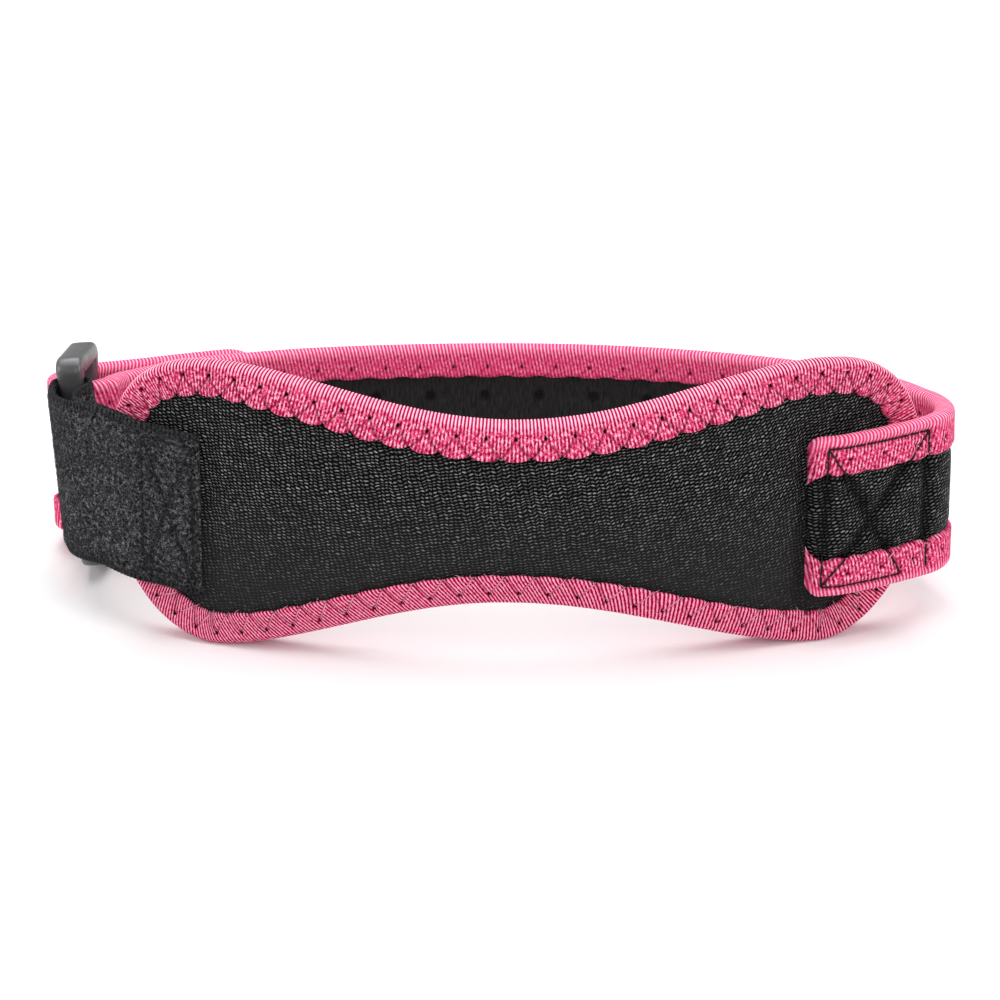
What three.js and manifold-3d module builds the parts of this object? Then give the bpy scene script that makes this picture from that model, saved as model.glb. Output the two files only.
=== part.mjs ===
// Patellar tendon knee strap: a padded, bow-tie front pad with a bound edge, a bound back strap that
// runs round behind the knee, and a tape loop with a plastic ring where the strap end doubles back.
//
// Millimetres, +Z up. Everything is laid out in the strap's own level frame, where the loop stands
// square to +Z and its front middle is at X = 0, Y = 0. The finished strap then leans back until it
// rests on the two lower lobes of the pad and on the lower edge of the back strap.

import * as THREE from 'three';
import { mergeVertices } from 'three/addons/utils/BufferGeometryUtils.js';
import Module from 'manifold-3d';

const wasm = await Module();
wasm.setup();

// Loop in plan, from the front middle outwards. Each row turns the loop to a heading in degrees,
// where 0 runs along the front and 180 along the back. The last two radii close the loop.
const LOOP_DEPTH = 73;
const FRONT_ARCS = [
  { radius: 270, heading: 14.5 },
  { radius: 80, heading: 32 },
];
const RIGHT_CORNER = { radius: 10, heading: 110, straight: 0, sideHeading: 150 };
const LEFT_CORNER = { radius: 14.8, heading: 95, straight: 13, sideHeading: 157 };
const MID_HEIGHT = 33;

// Front pad: lobes, waist and crown
const PAD_HEIGHT = 64;
const PAD_MID = PAD_HEIGHT / 2;
const PAD_HALF_LENGTH = 91.5;
const PAD_SHIFT = 3;
const LOBE_AT = 66.5;
const END_FULLNESS = { top: 2.7, bottom: 1.75 };
const WAIST_TOP = { dip: 11.7, at: 0 };
const WAIST_BOTTOM = { dip: 11.9, at: -3 };
const WAIST_FLATNESS = 0.8;
const PAD_EDGE_HALF_THICKNESS = 1.6;
const CROWN_OUT = 4.8;
const CROWN_IN = 2.4;
const CROWN_ENDS = { left: 68, right: 63 };
const CROWN_FALL = 15;
const EDGE_STATIONS = 24;
const END_STATIONS = 16;
const PAD_ROWS = [0, 0.4, 0.65, 0.8, 0.9, 1];

// Edge binding tape, folded over the edges
const GAP = 0.35;
const PAD_BINDING_GAP = 0.5;
const PAD_BINDING_THICKNESS = 1.0;
const PAD_BINDING_FRONT_TOP = 7.3;
const PAD_BINDING_FRONT_BOTTOM = 7.2;
const PAD_BINDING_BACK = 7.6;
const STRAP_BINDING_THICKNESS = 0.8;
const STRAP_BINDING_WIDTH = 8.6;
const FOLD_SHOULDER = 0.9;
const FOLD_NOSE = 0.55;

// Back strap
const STRAP_HEIGHT = 36;
const STRAP_THICKNESS = 2.2;
const STRAP_START = 66.2;
const STRAP_START_DROP = 3.7;
const STRAP_LEVEL_AFTER = 40;
const STRAP_RING_MID = 31.9;
const STRAP_LEVELS_TO_RING = 60;
const TAB_LENGTH = 48;
const TAB_STEP = 4;
const TAB_CLOSES_OVER = 12;
const TAB_ROUND = 11;
const TAB_CORNER_CUT = 6;
const TAB_RIGHTS = 0.8;
const TAB_LOOSE = 1.2;
const TAB_LOOSE_OVER = 20;
const VENT_RADIUS = 1.1;
const VENT_DEPTH = 1.2;
const VENT_PITCH = 12.8;
const VENT_ROW_OFFSET = 5.8;
const VENT_SIDES = 8;
const VENT_FROM = 110.7;
const VENT_CLEAR_OF_RING = 34;

// Ring and its tape loop
const BAR_RADIUS = 2.2;
const BAR_CLEARANCE = 0.8;
const BAR_SPACING = 15;
const RING_HEIGHT = 49.2;
const RING_MID = 33.5;
const RING_TOP_HALF_THICKNESS = 2.9;
const RING_FOOT_HALF_THICKNESS = 3.1;
const RING_TOP_REACH = 7;
const RING_FOOT_REACH = 2.6;
const RING_FOOT_RISE = 0.4;
const RING_TOP_DEEPER = 0.1;
const RING_TOP_CORNER = 1.2;
const RING_FOOT_CORNER = 3;
const RING_CORNER_STEPS = 4;
const RING_FRONT_BAR = 110;
const LEAN = 0.1;
const LEAN_PIVOT = 58;
const LEAN_REACH = 42;
const TAPE_HEIGHT = 36.4;
const TAPE_THICKNESS = 1.2;
const TAPE_RING_MID = 34.5;
const TAPE_END_DROP = 4.9;
const TAPE_CLEARANCE = 1.3;
const TAPE_GATHER = 9;
const TAPE_GATHERS_FROM = 102;
const TAPE_LEVEL_FROM = 88;
const TAPE_START = 66;
const TAPE_RETURN_END = 80.5;
const TAPE_STEP = 3;
const TURN_STEPS = 8;

// Corners closer than this are one corner
const MERGE = 1e-3;

// Rest: how far the strap leans back, and where its middle then lies
const LEAN_BACK = 12.6;
const REST_LIFT = 1.1;
const REST_SHIFT = { x: 1.85, y: -41.04 };
const SLAB = { side: 400, thickness: 20 };

// Colours
const PINK = 0xe0457e;
const BLACK_KNIT = 0x1b1b1d;
const BLACK_PILE = 0x242427;
const BLACK_PLASTIC = 0x2c2d30;

const clamp01 = (value) => Math.min(1, Math.max(0, value));
const smooth = (value) => clamp01(value) ** 2 * (3 - 2 * clamp01(value));

// One half of the loop, as a list of arcs with their starting places and a total length.
function halfLoop(corner) {
  const arcs = [];
  const end = { x: 0, y: 0, heading: 0, length: 0 };
  const turn = (radius, degrees) => {
    const heading = THREE.MathUtils.degToRad(degrees);
    arcs.push({ ...end, radius });
    end.x += radius * (Math.sin(heading) - Math.sin(end.heading));
    end.y += radius * (Math.cos(end.heading) - Math.cos(heading));
    end.length += radius * (heading - end.heading);
    end.heading = heading;
  };
  for (const row of FRONT_ARCS) turn(row.radius, row.heading);
  turn(corner.radius, corner.heading);
  arcs.push({ ...end, radius: Infinity });
  end.x += corner.straight * Math.cos(end.heading);
  end.y += corner.straight * Math.sin(end.heading);
  end.length += corner.straight;

  // The side and back radii that bring the half loop to X = 0 at the full depth.
  const from = end.heading;
  const to = THREE.MathUtils.degToRad(corner.sideHeading);
  const sideX = Math.sin(to) - Math.sin(from);
  const sideY = Math.cos(from) - Math.cos(to);
  const backX = -Math.sin(to);
  const backY = Math.cos(to) + 1;
  const determinant = sideX * backY - backX * sideY;
  const needX = -end.x;
  const needY = LOOP_DEPTH - end.y;
  turn((needX * backY - backX * needY) / determinant, corner.sideHeading);
  turn((sideX * needY - needX * sideY) / determinant, 180);
  return { arcs, length: end.length };
}

const right = halfLoop(RIGHT_CORNER);
const left = halfLoop(LEFT_CORNER);
const loopLength = right.length + left.length;

// Place on the loop: along is the run from the front middle, positive to the right and past the back.
function onLoop(along) {
  const run = along > right.length ? along - loopLength : along;
  const side = run < 0 ? -1 : 1;
  const distance = Math.abs(run);
  const arcs = (run < 0 ? left : right).arcs;
  const arc = arcs.findLast((item) => distance >= item.length - 1e-9);
  const past = distance - arc.length;
  const straight = arc.radius === Infinity;
  const heading = arc.heading + (straight ? 0 : past / arc.radius);
  const x = straight
    ? arc.x + past * Math.cos(heading)
    : arc.x + arc.radius * (Math.sin(heading) - Math.sin(arc.heading));
  const y = straight
    ? arc.y + past * Math.sin(heading)
    : arc.y + arc.radius * (Math.cos(arc.heading) - Math.cos(heading));
  const away = Math.abs(run + RING_FRONT_BAR + BAR_SPACING / 2) / LEAN_REACH;
  return {
    x: side * x,
    y,
    outX: side * Math.sin(heading),
    outY: -Math.cos(heading),
    lean: LEAN * clamp01(1 - away ** 2) ** 2,
  };
}

// A point off the loop by a distance outwards, at a height. The loop leans out around the ring.
function offLoop(along, out, z) {
  const place = onLoop(along);
  const reach = out + place.lean * (z - LEAN_PIVOT);
  return new THREE.Vector3(place.x + reach * place.outX, place.y + reach * place.outY, z);
}

// Closed body from equal rings of points. Open rows of rings are capped with the given outline.
function loft(rings, cap) {
  const size = rings[0].length;
  const positions = rings.flat().flatMap((point) => [point.x, point.y, point.z]);
  const triangles = [];
  const rows = cap ? rings.length - 1 : rings.length;
  for (let row = 0; row < rows; row += 1) {
    for (let column = 0; column < size; column += 1) {
      const next = (column + 1) % size;
      const a = row * size + column;
      const b = row * size + next;
      const c = ((row + 1) % rings.length) * size + next;
      const d = ((row + 1) % rings.length) * size + column;
      triangles.push(a, b, c, a, c, d);
    }
  }
  if (cap) {
    const last = (rings.length - 1) * size;
    const clockwise = THREE.ShapeUtils.isClockWise(cap);
    for (const [a, second, third] of THREE.ShapeUtils.triangulateShape(cap, [])) {
      const b = clockwise ? third : second;
      const c = clockwise ? second : third;
      triangles.push(a, c, b, last + a, last + b, last + c);
    }
  }
  return closedGeometry(positions, triangles);
}

// Geometry with shared corners, no empty triangles and its faces pointing out.
function closedGeometry(positions, triangles) {
  const raw = new THREE.BufferGeometry();
  raw.setAttribute('position', new THREE.Float32BufferAttribute(positions, 3));
  raw.setIndex(triangles);
  const geometry = mergeVertices(raw, MERGE);
  const index = Array.from(geometry.index.array);
  const kept = [];
  for (let i = 0; i < index.length; i += 3) {
    const [a, b, c] = index.slice(i, i + 3);
    if (a !== b && b !== c && c !== a) kept.push(a, b, c);
  }
  if (volumeOf(geometry.attributes.position, kept) < 0) kept.reverse();
  geometry.setIndex(kept);
  geometry.computeVertexNormals();
  return geometry;
}

function volumeOf(position, index) {
  const corner = (i) => new THREE.Vector3().fromBufferAttribute(position, index[i]);
  let volume = 0;
  for (let i = 0; i < index.length; i += 3) {
    volume += corner(i).dot(corner(i + 1).cross(corner(i + 2))) / 6;
  }
  return volume;
}

function solidOf(geometry) {
  const bare = new THREE.BufferGeometry();
  bare.setAttribute('position', geometry.attributes.position.clone());
  bare.setIndex(geometry.index.clone());
  const merged = mergeVertices(bare, MERGE);
  const vertProperties = new Float32Array(merged.attributes.position.array);
  const triVerts = new Uint32Array(merged.index.array);
  return new wasm.Manifold(new wasm.Mesh({ numProp: 3, vertProperties, triVerts }));
}

function geometryOf(solid) {
  const mesh = solid.getMesh();
  return closedGeometry(Array.from(mesh.vertProperties), Array.from(mesh.triVerts));
}

// Pad outline in its own flat layout: p along the pad from its middle, z up.
function waist(p, { dip, at }) {
  const reach = p < at ? LOBE_AT + at : LOBE_AT - at;
  const share = Math.min(1, Math.abs(p - at) / reach);
  return dip * ((1 + Math.cos(Math.PI * share)) / 2) ** WAIST_FLATNESS;
}

function padTop(p) {
  return PAD_HEIGHT - waist(p, WAIST_TOP);
}

function padBottom(p) {
  return waist(p, WAIST_BOTTOM);
}

function padOutline() {
  const points = [];
  const addEdge = (edge, direction) => {
    for (let i = 0; i < EDGE_STATIONS; i += 1) {
      const p = direction * LOBE_AT * ((2 * i) / EDGE_STATIONS - 1);
      points.push(new THREE.Vector2(p, edge(p)));
    }
  };
  const addEnd = (side) => {
    for (let i = 0; i < END_STATIONS; i += 1) {
      const angle = (Math.PI * i) / END_STATIONS;
      const rise = side * Math.cos(angle);
      const power = 2 / (rise > 0 ? END_FULLNESS.top : END_FULLNESS.bottom);
      const p = side * (LOBE_AT + (PAD_HALF_LENGTH - LOBE_AT) * Math.sin(angle) ** power);
      const z = PAD_MID + Math.sign(rise) * PAD_MID * Math.abs(rise) ** power;
      points.push(new THREE.Vector2(p, z));
    }
  };
  addEdge(padTop, 1);
  addEnd(1);
  addEdge(padBottom, -1);
  addEnd(-1);
  return points;
}

const outline = padOutline();
const inward = outline.map((point, i) => {
  const before = outline.at(i - 1);
  const after = outline[(i + 1) % outline.length];
  const edge = after.clone().sub(before).normalize();
  return new THREE.Vector2(edge.y, -edge.x);
});

const inset = (i, distance) => outline[i].clone().addScaledVector(inward[i], distance);

// How much of the crown stands at a place on the pad: all of it in the middle, none at the edges.
function crownAt(point) {
  const low = padBottom(point.x);
  const high = padTop(point.x);
  const across = Math.abs((2 * point.y - low - high) / (high - low));
  const crownEnd = point.x < 0 ? CROWN_ENDS.left : CROWN_ENDS.right;
  const along = smooth((crownEnd - Math.abs(point.x)) / CROWN_FALL);
  return along * (1 - Math.min(1, across) ** 3);
}

const padFront = (point) => PAD_EDGE_HALF_THICKNESS + CROWN_OUT * crownAt(point);
const padBack = (point) => -PAD_EDGE_HALF_THICKNESS - CROWN_IN * crownAt(point);
const onPad = (point, out) => offLoop(point.x + PAD_SHIFT, out, point.y);

// Padded panel: faces fan out from a spine along the middle to the edge inside the binding.
function frontPad() {
  const edgeInset = PAD_BINDING_THICKNESS + GAP;
  const rings = outline.map((edge, i) => {
    const p = THREE.MathUtils.clamp(edge.x, -LOBE_AT, LOBE_AT);
    const spine = new THREE.Vector2(p, (padTop(p) + padBottom(p)) / 2);
    const row = PAD_ROWS.map((share) => spine.clone().lerp(inset(i, edgeInset), share));
    const front = row.map((point) => onPad(point, padFront(point)));
    const back = row.map((point) => onPad(point, padBack(point)));
    return [...front, ...back.reverse()];
  });
  const size = rings[0].length;
  const positions = rings.flat().flatMap((point) => [point.x, point.y, point.z]);
  const triangles = [];
  rings.forEach((ring, row) => {
    const next = (row + 1) % rings.length;
    for (let column = 0; column < size - 1; column += 1) {
      const a = row * size + column;
      const d = next * size + column;
      triangles.push(a, a + 1, d + 1, a, d + 1, d);
    }
  });
  return closedGeometry(positions, triangles);
}

// Pink tape folded over the pad's edge, all the way round.
function padBinding() {
  const rings = outline.map((edge, i) => {
    const upper = smooth((inward[i].y + 1) / 2);
    const front = THREE.MathUtils.lerp(PAD_BINDING_FRONT_BOTTOM, PAD_BINDING_FRONT_TOP, 1 - upper);
    const outside = PAD_BINDING_GAP + PAD_BINDING_THICKNESS;
    const frontAt = (distance, lift) => onPad(inset(i, distance), padFront(inset(i, distance)) + lift);
    const backAt = (distance, lift) => onPad(inset(i, distance), padBack(inset(i, distance)) - lift);
    const nose = PAD_EDGE_HALF_THICKNESS / 2;
    const shoulder = PAD_BINDING_THICKNESS;
    return [
      frontAt(front, outside),
      frontAt(front / 2, outside),
      frontAt(shoulder, outside * FOLD_SHOULDER),
      onPad(edge, nose),
      onPad(edge, -nose),
      backAt(shoulder, outside * FOLD_SHOULDER),
      backAt(PAD_BINDING_BACK / 2, outside),
      backAt(PAD_BINDING_BACK, outside),
      backAt(PAD_BINDING_BACK, PAD_BINDING_GAP),
      backAt(PAD_BINDING_BACK / 2, PAD_BINDING_GAP),
      backAt(shoulder, PAD_BINDING_GAP),
      frontAt(shoulder, PAD_BINDING_GAP),
      frontAt(front / 2, PAD_BINDING_GAP),
      frontAt(front, PAD_BINDING_GAP),
    ];
  });
  return loft(rings);
}

// Run of a strap or tape in plan: stations with the place, the outward side of the band and a height.
// A row takes the loop's lean, or the share of it that the row states.
function bandStations(rows) {
  const places = rows.map((row) => {
    const loop = onLoop(row.along);
    const lean = loop.lean * (row.leanShare ?? 1);
    return {
      ...row,
      x: loop.x + row.out * loop.outX,
      y: loop.y + row.out * loop.outY,
      leanX: lean * loop.outX,
      leanY: lean * loop.outY,
    };
  });
  return places.map((place, i) => {
    const before = places[Math.max(0, i - 1)];
    const after = places[Math.min(places.length - 1, i + 1)];
    const run = new THREE.Vector2(after.x - before.x, after.y - before.y).normalize();
    return { ...place, sideX: run.y, sideY: -run.x };
  });
}

const onBand = (station, out, z) =>
  new THREE.Vector3(
    station.x + out * station.sideX + station.leanX * (z - LEAN_PIVOT),
    station.y + out * station.sideY + station.leanY * (z - LEAN_PIVOT),
    z,
  );

// Offsets at a run, read from a table of rows by smooth steps.
function fromTable(table, along) {
  const after = table.findIndex((row) => row.along >= along);
  if (after === 0) return table[0].out;
  if (after < 0) return table.at(-1).out;
  const low = table[after - 1];
  const high = table[after];
  return THREE.MathUtils.lerp(low.out, high.out, smooth((along - low.along) / (high.along - low.along)));
}

const spread = (from, to, step) => {
  const count = Math.max(1, Math.round(Math.abs(to - from) / step));
  return Array.from({ length: count + 1 }, (_, i) => from + ((to - from) * i) / count);
};

function spreadRuns(from, runs) {
  const stations = [from];
  for (const run of runs) stations.push(...spread(stations.at(-1), run.to, run.step).slice(1));
  return stations;
}

// Half turn about a bar, from one side of the band to the other.
function turnAbout(bar, radius, direction, fromSide) {
  return Array.from({ length: TURN_STEPS - 1 }, (_, i) => {
    const angle = (Math.PI * (i + 1)) / TURN_STEPS;
    return { along: bar + direction * radius * Math.sin(angle), out: fromSide * radius * Math.cos(angle) };
  });
}

const strapWrapThickness = STRAP_THICKNESS + 2 * (GAP + STRAP_BINDING_THICKNESS);
const padEndOut = PAD_EDGE_HALF_THICKNESS + PAD_BINDING_GAP + PAD_BINDING_THICKNESS;
const rearBar = loopLength - RING_FRONT_BAR - BAR_SPACING;
const strapTurnRadius = BAR_RADIUS + BAR_CLEARANCE + strapWrapThickness / 2;
const tabOut = strapWrapThickness + GAP;

// Back strap: from the pad's front, round the back, round the ring's rear bar and back over itself.
const STRAP_OFFSETS = [
  { along: STRAP_START, out: PAD_EDGE_HALF_THICKNESS + GAP + strapWrapThickness / 2 },
  { along: 73, out: padEndOut + GAP + strapWrapThickness / 2 },
  { along: 92, out: padEndOut + GAP + strapWrapThickness / 2 },
  { along: 110, out: 0 },
  { along: rearBar - 30, out: 0 },
  { along: rearBar - 2, out: -strapTurnRadius },
];

// Spacing of the strap's stations, closer together round its corners.
const STRAP_RUNS = [
  { to: 90, step: 5.5 },
  { to: 112, step: 3.2 },
  { to: rearBar - 26, step: 6 },
  { to: rearBar, step: 2.6 },
];

function strapMid(along) {
  const drop = STRAP_START_DROP * clamp01(1 - (along - STRAP_START) / STRAP_LEVEL_AFTER);
  const level = smooth(1 - (rearBar - along) / STRAP_LEVELS_TO_RING);
  return THREE.MathUtils.lerp(MID_HEIGHT - drop, STRAP_RING_MID, level);
}

function strapStations() {
  const main = spreadRuns(STRAP_START, STRAP_RUNS).map((along) => ({
    along,
    out: fromTable(STRAP_OFFSETS, along),
    mid: strapMid(along),
    half: STRAP_HEIGHT / 2,
  }));
  const turn = turnAbout(rearBar, strapTurnRadius, 1, -1).map((row, i) => {
    const turned = smooth(2 * ((i + 1) / TURN_STEPS) - 1);
    return {
      along: row.along,
      out: row.out + TAB_LOOSE * turned,
      mid: STRAP_RING_MID,
      half: STRAP_HEIGHT / 2,
      leanShare: 1 - TAB_RIGHTS * turned,
    };
  });
  const tab = spread(0, TAB_LENGTH, TAB_STEP).map((back) => ({
    along: rearBar - back,
    out:
      THREE.MathUtils.lerp(strapTurnRadius, tabOut, smooth(back / TAB_CLOSES_OVER)) +
      TAB_LOOSE * (1 - smooth(back / TAB_LOOSE_OVER)),
    leanShare: 1 - TAB_RIGHTS,
    mid: strapMid(rearBar - back),
    half: STRAP_HEIGHT / 2 - TAB_CORNER_CUT * clamp01((back - TAB_LENGTH + TAB_ROUND) / TAB_ROUND) ** 2,
  }));
  return bandStations([...main, ...turn, ...tab]);
}

const strap = strapStations();

function backStrap() {
  const half = STRAP_THICKNESS / 2;
  const edge = STRAP_BINDING_THICKNESS + GAP;
  const profile = [[half, 1], [-half, 1], [-half, -1], [half, -1]];
  const rings = strap.map((station) =>
    profile.map(([out, side]) => onBand(station, out, station.mid + side * (station.half - edge))),
  );
  const cap = profile.map(([out, side]) => new THREE.Vector2(out, side));
  return geometryOf(solidOf(loft(rings, cap)).subtract(vents(half)));
}

// Blind breathing holes in the strap's inner face, in two staggered rows.
function vents(half) {
  const hole = new THREE.CylinderGeometry(VENT_RADIUS, VENT_RADIUS, 2 * VENT_DEPTH, VENT_SIDES);
  hole.deleteAttribute('normal');
  hole.deleteAttribute('uv');
  let cut = null;
  const last = rearBar - VENT_CLEAR_OF_RING;
  for (let i = 0; VENT_FROM + (i * VENT_PITCH) / 2 < last; i += 1) {
    const place = onLoop(VENT_FROM + (i * VENT_PITCH) / 2);
    const outwards = new THREE.Vector3(place.outX, place.outY, 0);
    const centre = new THREE.Vector3(place.x, place.y, MID_HEIGHT + (i % 2 ? 1 : -1) * VENT_ROW_OFFSET);
    centre.addScaledVector(outwards, -half);
    const turned = new THREE.Quaternion().setFromUnitVectors(new THREE.Vector3(0, 1, 0), outwards);
    const placed = hole.clone().applyMatrix4(
      new THREE.Matrix4().compose(centre, turned, new THREE.Vector3(1, 1, 1)),
    );
    const solid = solidOf(mergeVertices(placed, MERGE));
    cut = cut ? cut.add(solid) : solid;
  }
  return cut;
}

// Pink tape folded over one long edge of the strap; side is 1 for the upper edge and -1 for the lower.
function strapBinding(side) {
  const inner = STRAP_THICKNESS / 2 + GAP;
  const outer = inner + STRAP_BINDING_THICKNESS;
  const profile = [
    { out: outer, down: STRAP_BINDING_WIDTH },
    { out: outer, down: STRAP_BINDING_THICKNESS },
    { out: outer * FOLD_NOSE, down: 0 },
    { out: -outer * FOLD_NOSE, down: 0 },
    { out: -outer, down: STRAP_BINDING_THICKNESS },
    { out: -outer, down: STRAP_BINDING_WIDTH },
    { out: -inner, down: STRAP_BINDING_WIDTH },
    { out: -inner, down: STRAP_BINDING_THICKNESS },
    { out: inner, down: STRAP_BINDING_THICKNESS },
    { out: inner, down: STRAP_BINDING_WIDTH },
  ];
  const rings = strap.map((station) =>
    profile.map((row) => onBand(station, row.out, station.mid + side * (station.half - row.down))),
  );
  return loft(rings, profile.map((row) => new THREE.Vector2(row.out, row.down)));
}

// Tape loop: sewn on the pad's front, out round the ring's front bar, and back under itself. Its lower
// edge is drawn up where it turns round the bar.
const tapeTurnRadius = BAR_RADIUS + TAPE_CLEARANCE + TAPE_THICKNESS / 2;
const underTape = padEndOut + GAP + TAPE_THICKNESS / 2;
const overTape = underTape + TAPE_THICKNESS + GAP;
const TAPE_OVER = [
  { along: TAPE_START, out: PAD_EDGE_HALF_THICKNESS + GAP + TAPE_THICKNESS / 2 },
  { along: 70, out: underTape },
  { along: 74, out: underTape },
  { along: 79.5, out: overTape },
  { along: 91, out: overTape },
  { along: RING_FRONT_BAR - 1, out: tapeTurnRadius },
];
const TAPE_UNDER = [
  { along: TAPE_RETURN_END, out: underTape },
  { along: 91, out: underTape },
  { along: RING_FRONT_BAR - 1, out: -tapeTurnRadius },
];

function tapeStations() {
  const level = (along) =>
    TAPE_RING_MID - TAPE_END_DROP * clamp01((TAPE_LEVEL_FROM - along) / (TAPE_LEVEL_FROM - TAPE_START));
  const gatherTo = RING_FRONT_BAR + tapeTurnRadius;
  const gather = (along) =>
    TAPE_GATHER * smooth((along - TAPE_GATHERS_FROM) / (gatherTo - TAPE_GATHERS_FROM));
  const over = spread(TAPE_START, RING_FRONT_BAR, TAPE_STEP).map((along) => ({
    along,
    out: fromTable(TAPE_OVER, along),
  }));
  const turn = turnAbout(RING_FRONT_BAR, tapeTurnRadius, 1, 1);
  const under = spread(RING_FRONT_BAR, TAPE_RETURN_END, TAPE_STEP).map((along) => ({
    along,
    out: fromTable(TAPE_UNDER, along),
  }));
  const rows = [...over, ...turn, ...under];
  return bandStations(
    rows.map((row) => ({
      ...row,
      along: -row.along,
      top: level(row.along) + TAPE_HEIGHT / 2,
      bottom: level(row.along) - TAPE_HEIGHT / 2 + gather(row.along),
    })),
  );
}

function buckleTape() {
  const half = TAPE_THICKNESS / 2;
  const profile = [[half, 1], [-half, 1], [-half, -1], [half, -1]];
  const rings = tapeStations().map((station) =>
    profile.map(([out, side]) => onBand(station, out, side > 0 ? station.top : station.bottom)),
  );
  return loft(rings, profile.map(([out, side]) => new THREE.Vector2(out, side)));
}

// Moulded ring in its own frame: X along the strap, Y outwards, Z up. Its ends are thicker blocks that
// taper into the two bars, and the upper block is also deeper.
function buckle() {
  const halfLength = BAR_SPACING / 2;
  const halfHeight = RING_HEIGHT / 2 - BAR_RADIUS;
  const barLevels = [
    halfHeight - RING_TOP_REACH / 2,
    halfHeight - RING_TOP_REACH,
    RING_FOOT_CORNER + RING_FOOT_RISE - halfHeight,
  ];
  const rings = [];
  const addSection = (x, z, out) => {
    const reach = z > 0 ? RING_TOP_REACH : RING_FOOT_REACH;
    const nearEnd = smooth((Math.abs(z) - halfHeight + reach) / reach);
    rings.push(ringSection(x, z, out, nearEnd));
  };
  for (const [quarter, [sideX, sideZ]] of [[1, 1], [-1, 1], [-1, -1], [1, -1]].entries()) {
    const corner = sideZ > 0 ? RING_TOP_CORNER : RING_FOOT_CORNER;
    for (let i = 0; i <= RING_CORNER_STEPS; i += 1) {
      const angle = (Math.PI / 2) * (quarter + i / RING_CORNER_STEPS);
      const out = new THREE.Vector2(Math.cos(angle), Math.sin(angle));
      const x = sideX * (halfLength - corner) + corner * out.x;
      const z = sideZ * (halfHeight - corner) + corner * out.y;
      addSection(x, z, out);
    }
    if (sideX === sideZ) continue;
    const levels = sideZ > 0 ? barLevels : [...barLevels].reverse();
    for (const level of levels) addSection(sideX * halfLength, level, new THREE.Vector2(sideX, 0));
  }
  return loft(rings);
}

function ringSection(x, z, out, nearEnd) {
  const flat = Math.tan(Math.PI / 8);
  const corners = [[1, flat], [flat, 1], [-flat, 1], [-1, flat], [-1, -flat], [-flat, -1], [flat, -1], [1, -flat]];
  const endThick = z > 0 ? RING_TOP_HALF_THICKNESS : RING_FOOT_HALF_THICKNESS;
  const halfThick = THREE.MathUtils.lerp(BAR_RADIUS, endThick, nearEnd);
  const inward = BAR_RADIUS * (1 + (z > 0 ? RING_TOP_DEEPER * nearEnd : 0));
  return corners.map(([radial, across]) => {
    const reach = radial * (radial < 0 ? inward : BAR_RADIUS);
    return new THREE.Vector3(x + out.x * reach, halfThick * across, z + out.y * reach);
  });
}

// The surface the strap rests on, as a slab in the level frame that flattens what touches it.
function restSlab() {
  const slab = new THREE.BoxGeometry(SLAB.side, SLAB.side, SLAB.thickness);
  slab.translate(0, 0, -SLAB.thickness / 2 - REST_LIFT);
  slab.rotateX(THREE.MathUtils.degToRad(LEAN_BACK));
  slab.deleteAttribute('normal');
  slab.deleteAttribute('uv');
  return solidOf(mergeVertices(slab, MERGE));
}

const flattened = (geometry) => geometryOf(solidOf(geometry).subtract(restSlab()));

function piece(name, geometry, color, roughness) {
  const material = new THREE.MeshStandardMaterial({ color, roughness, metalness: 0 });
  const mesh = new THREE.Mesh(geometry, material);
  mesh.name = name;
  return mesh;
}

function ringOnStrap() {
  const front = onLoop(-RING_FRONT_BAR);
  const rear = onLoop(-RING_FRONT_BAR - BAR_SPACING);
  const ring = piece('buckle', buckle(), BLACK_PLASTIC, 0.4);
  ring.rotation.x = -Math.atan(front.lean);
  const reach = front.lean * (RING_MID - LEAN_PIVOT);
  const carrier = new THREE.Group();
  carrier.position.set(
    (front.x + rear.x + reach * (front.outX + rear.outX)) / 2,
    (front.y + rear.y + reach * (front.outY + rear.outY)) / 2,
    RING_MID,
  );
  carrier.rotation.z = Math.atan2(rear.y - front.y, rear.x - front.x);
  carrier.add(ring);
  return carrier;
}

const levelStrap = new THREE.Group();
levelStrap.add(
  piece('front_pad', frontPad(), BLACK_KNIT, 0.85),
  piece('pad_binding', flattened(padBinding()), PINK, 0.7),
  piece('back_strap', backStrap(), BLACK_KNIT, 0.85),
  piece('strap_binding_top', strapBinding(1), PINK, 0.7),
  piece('strap_binding_bottom', flattened(strapBinding(-1)), PINK, 0.7),
  piece('buckle_tape', buckleTape(), BLACK_PILE, 0.95),
  ringOnStrap(),
);
levelStrap.rotation.x = -THREE.MathUtils.degToRad(LEAN_BACK);
levelStrap.position.set(REST_SHIFT.x, REST_SHIFT.y, REST_LIFT);

const kneeStrap = new THREE.Group();
kneeStrap.add(levelStrap);

export default kneeStrap;
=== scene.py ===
import math

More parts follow.
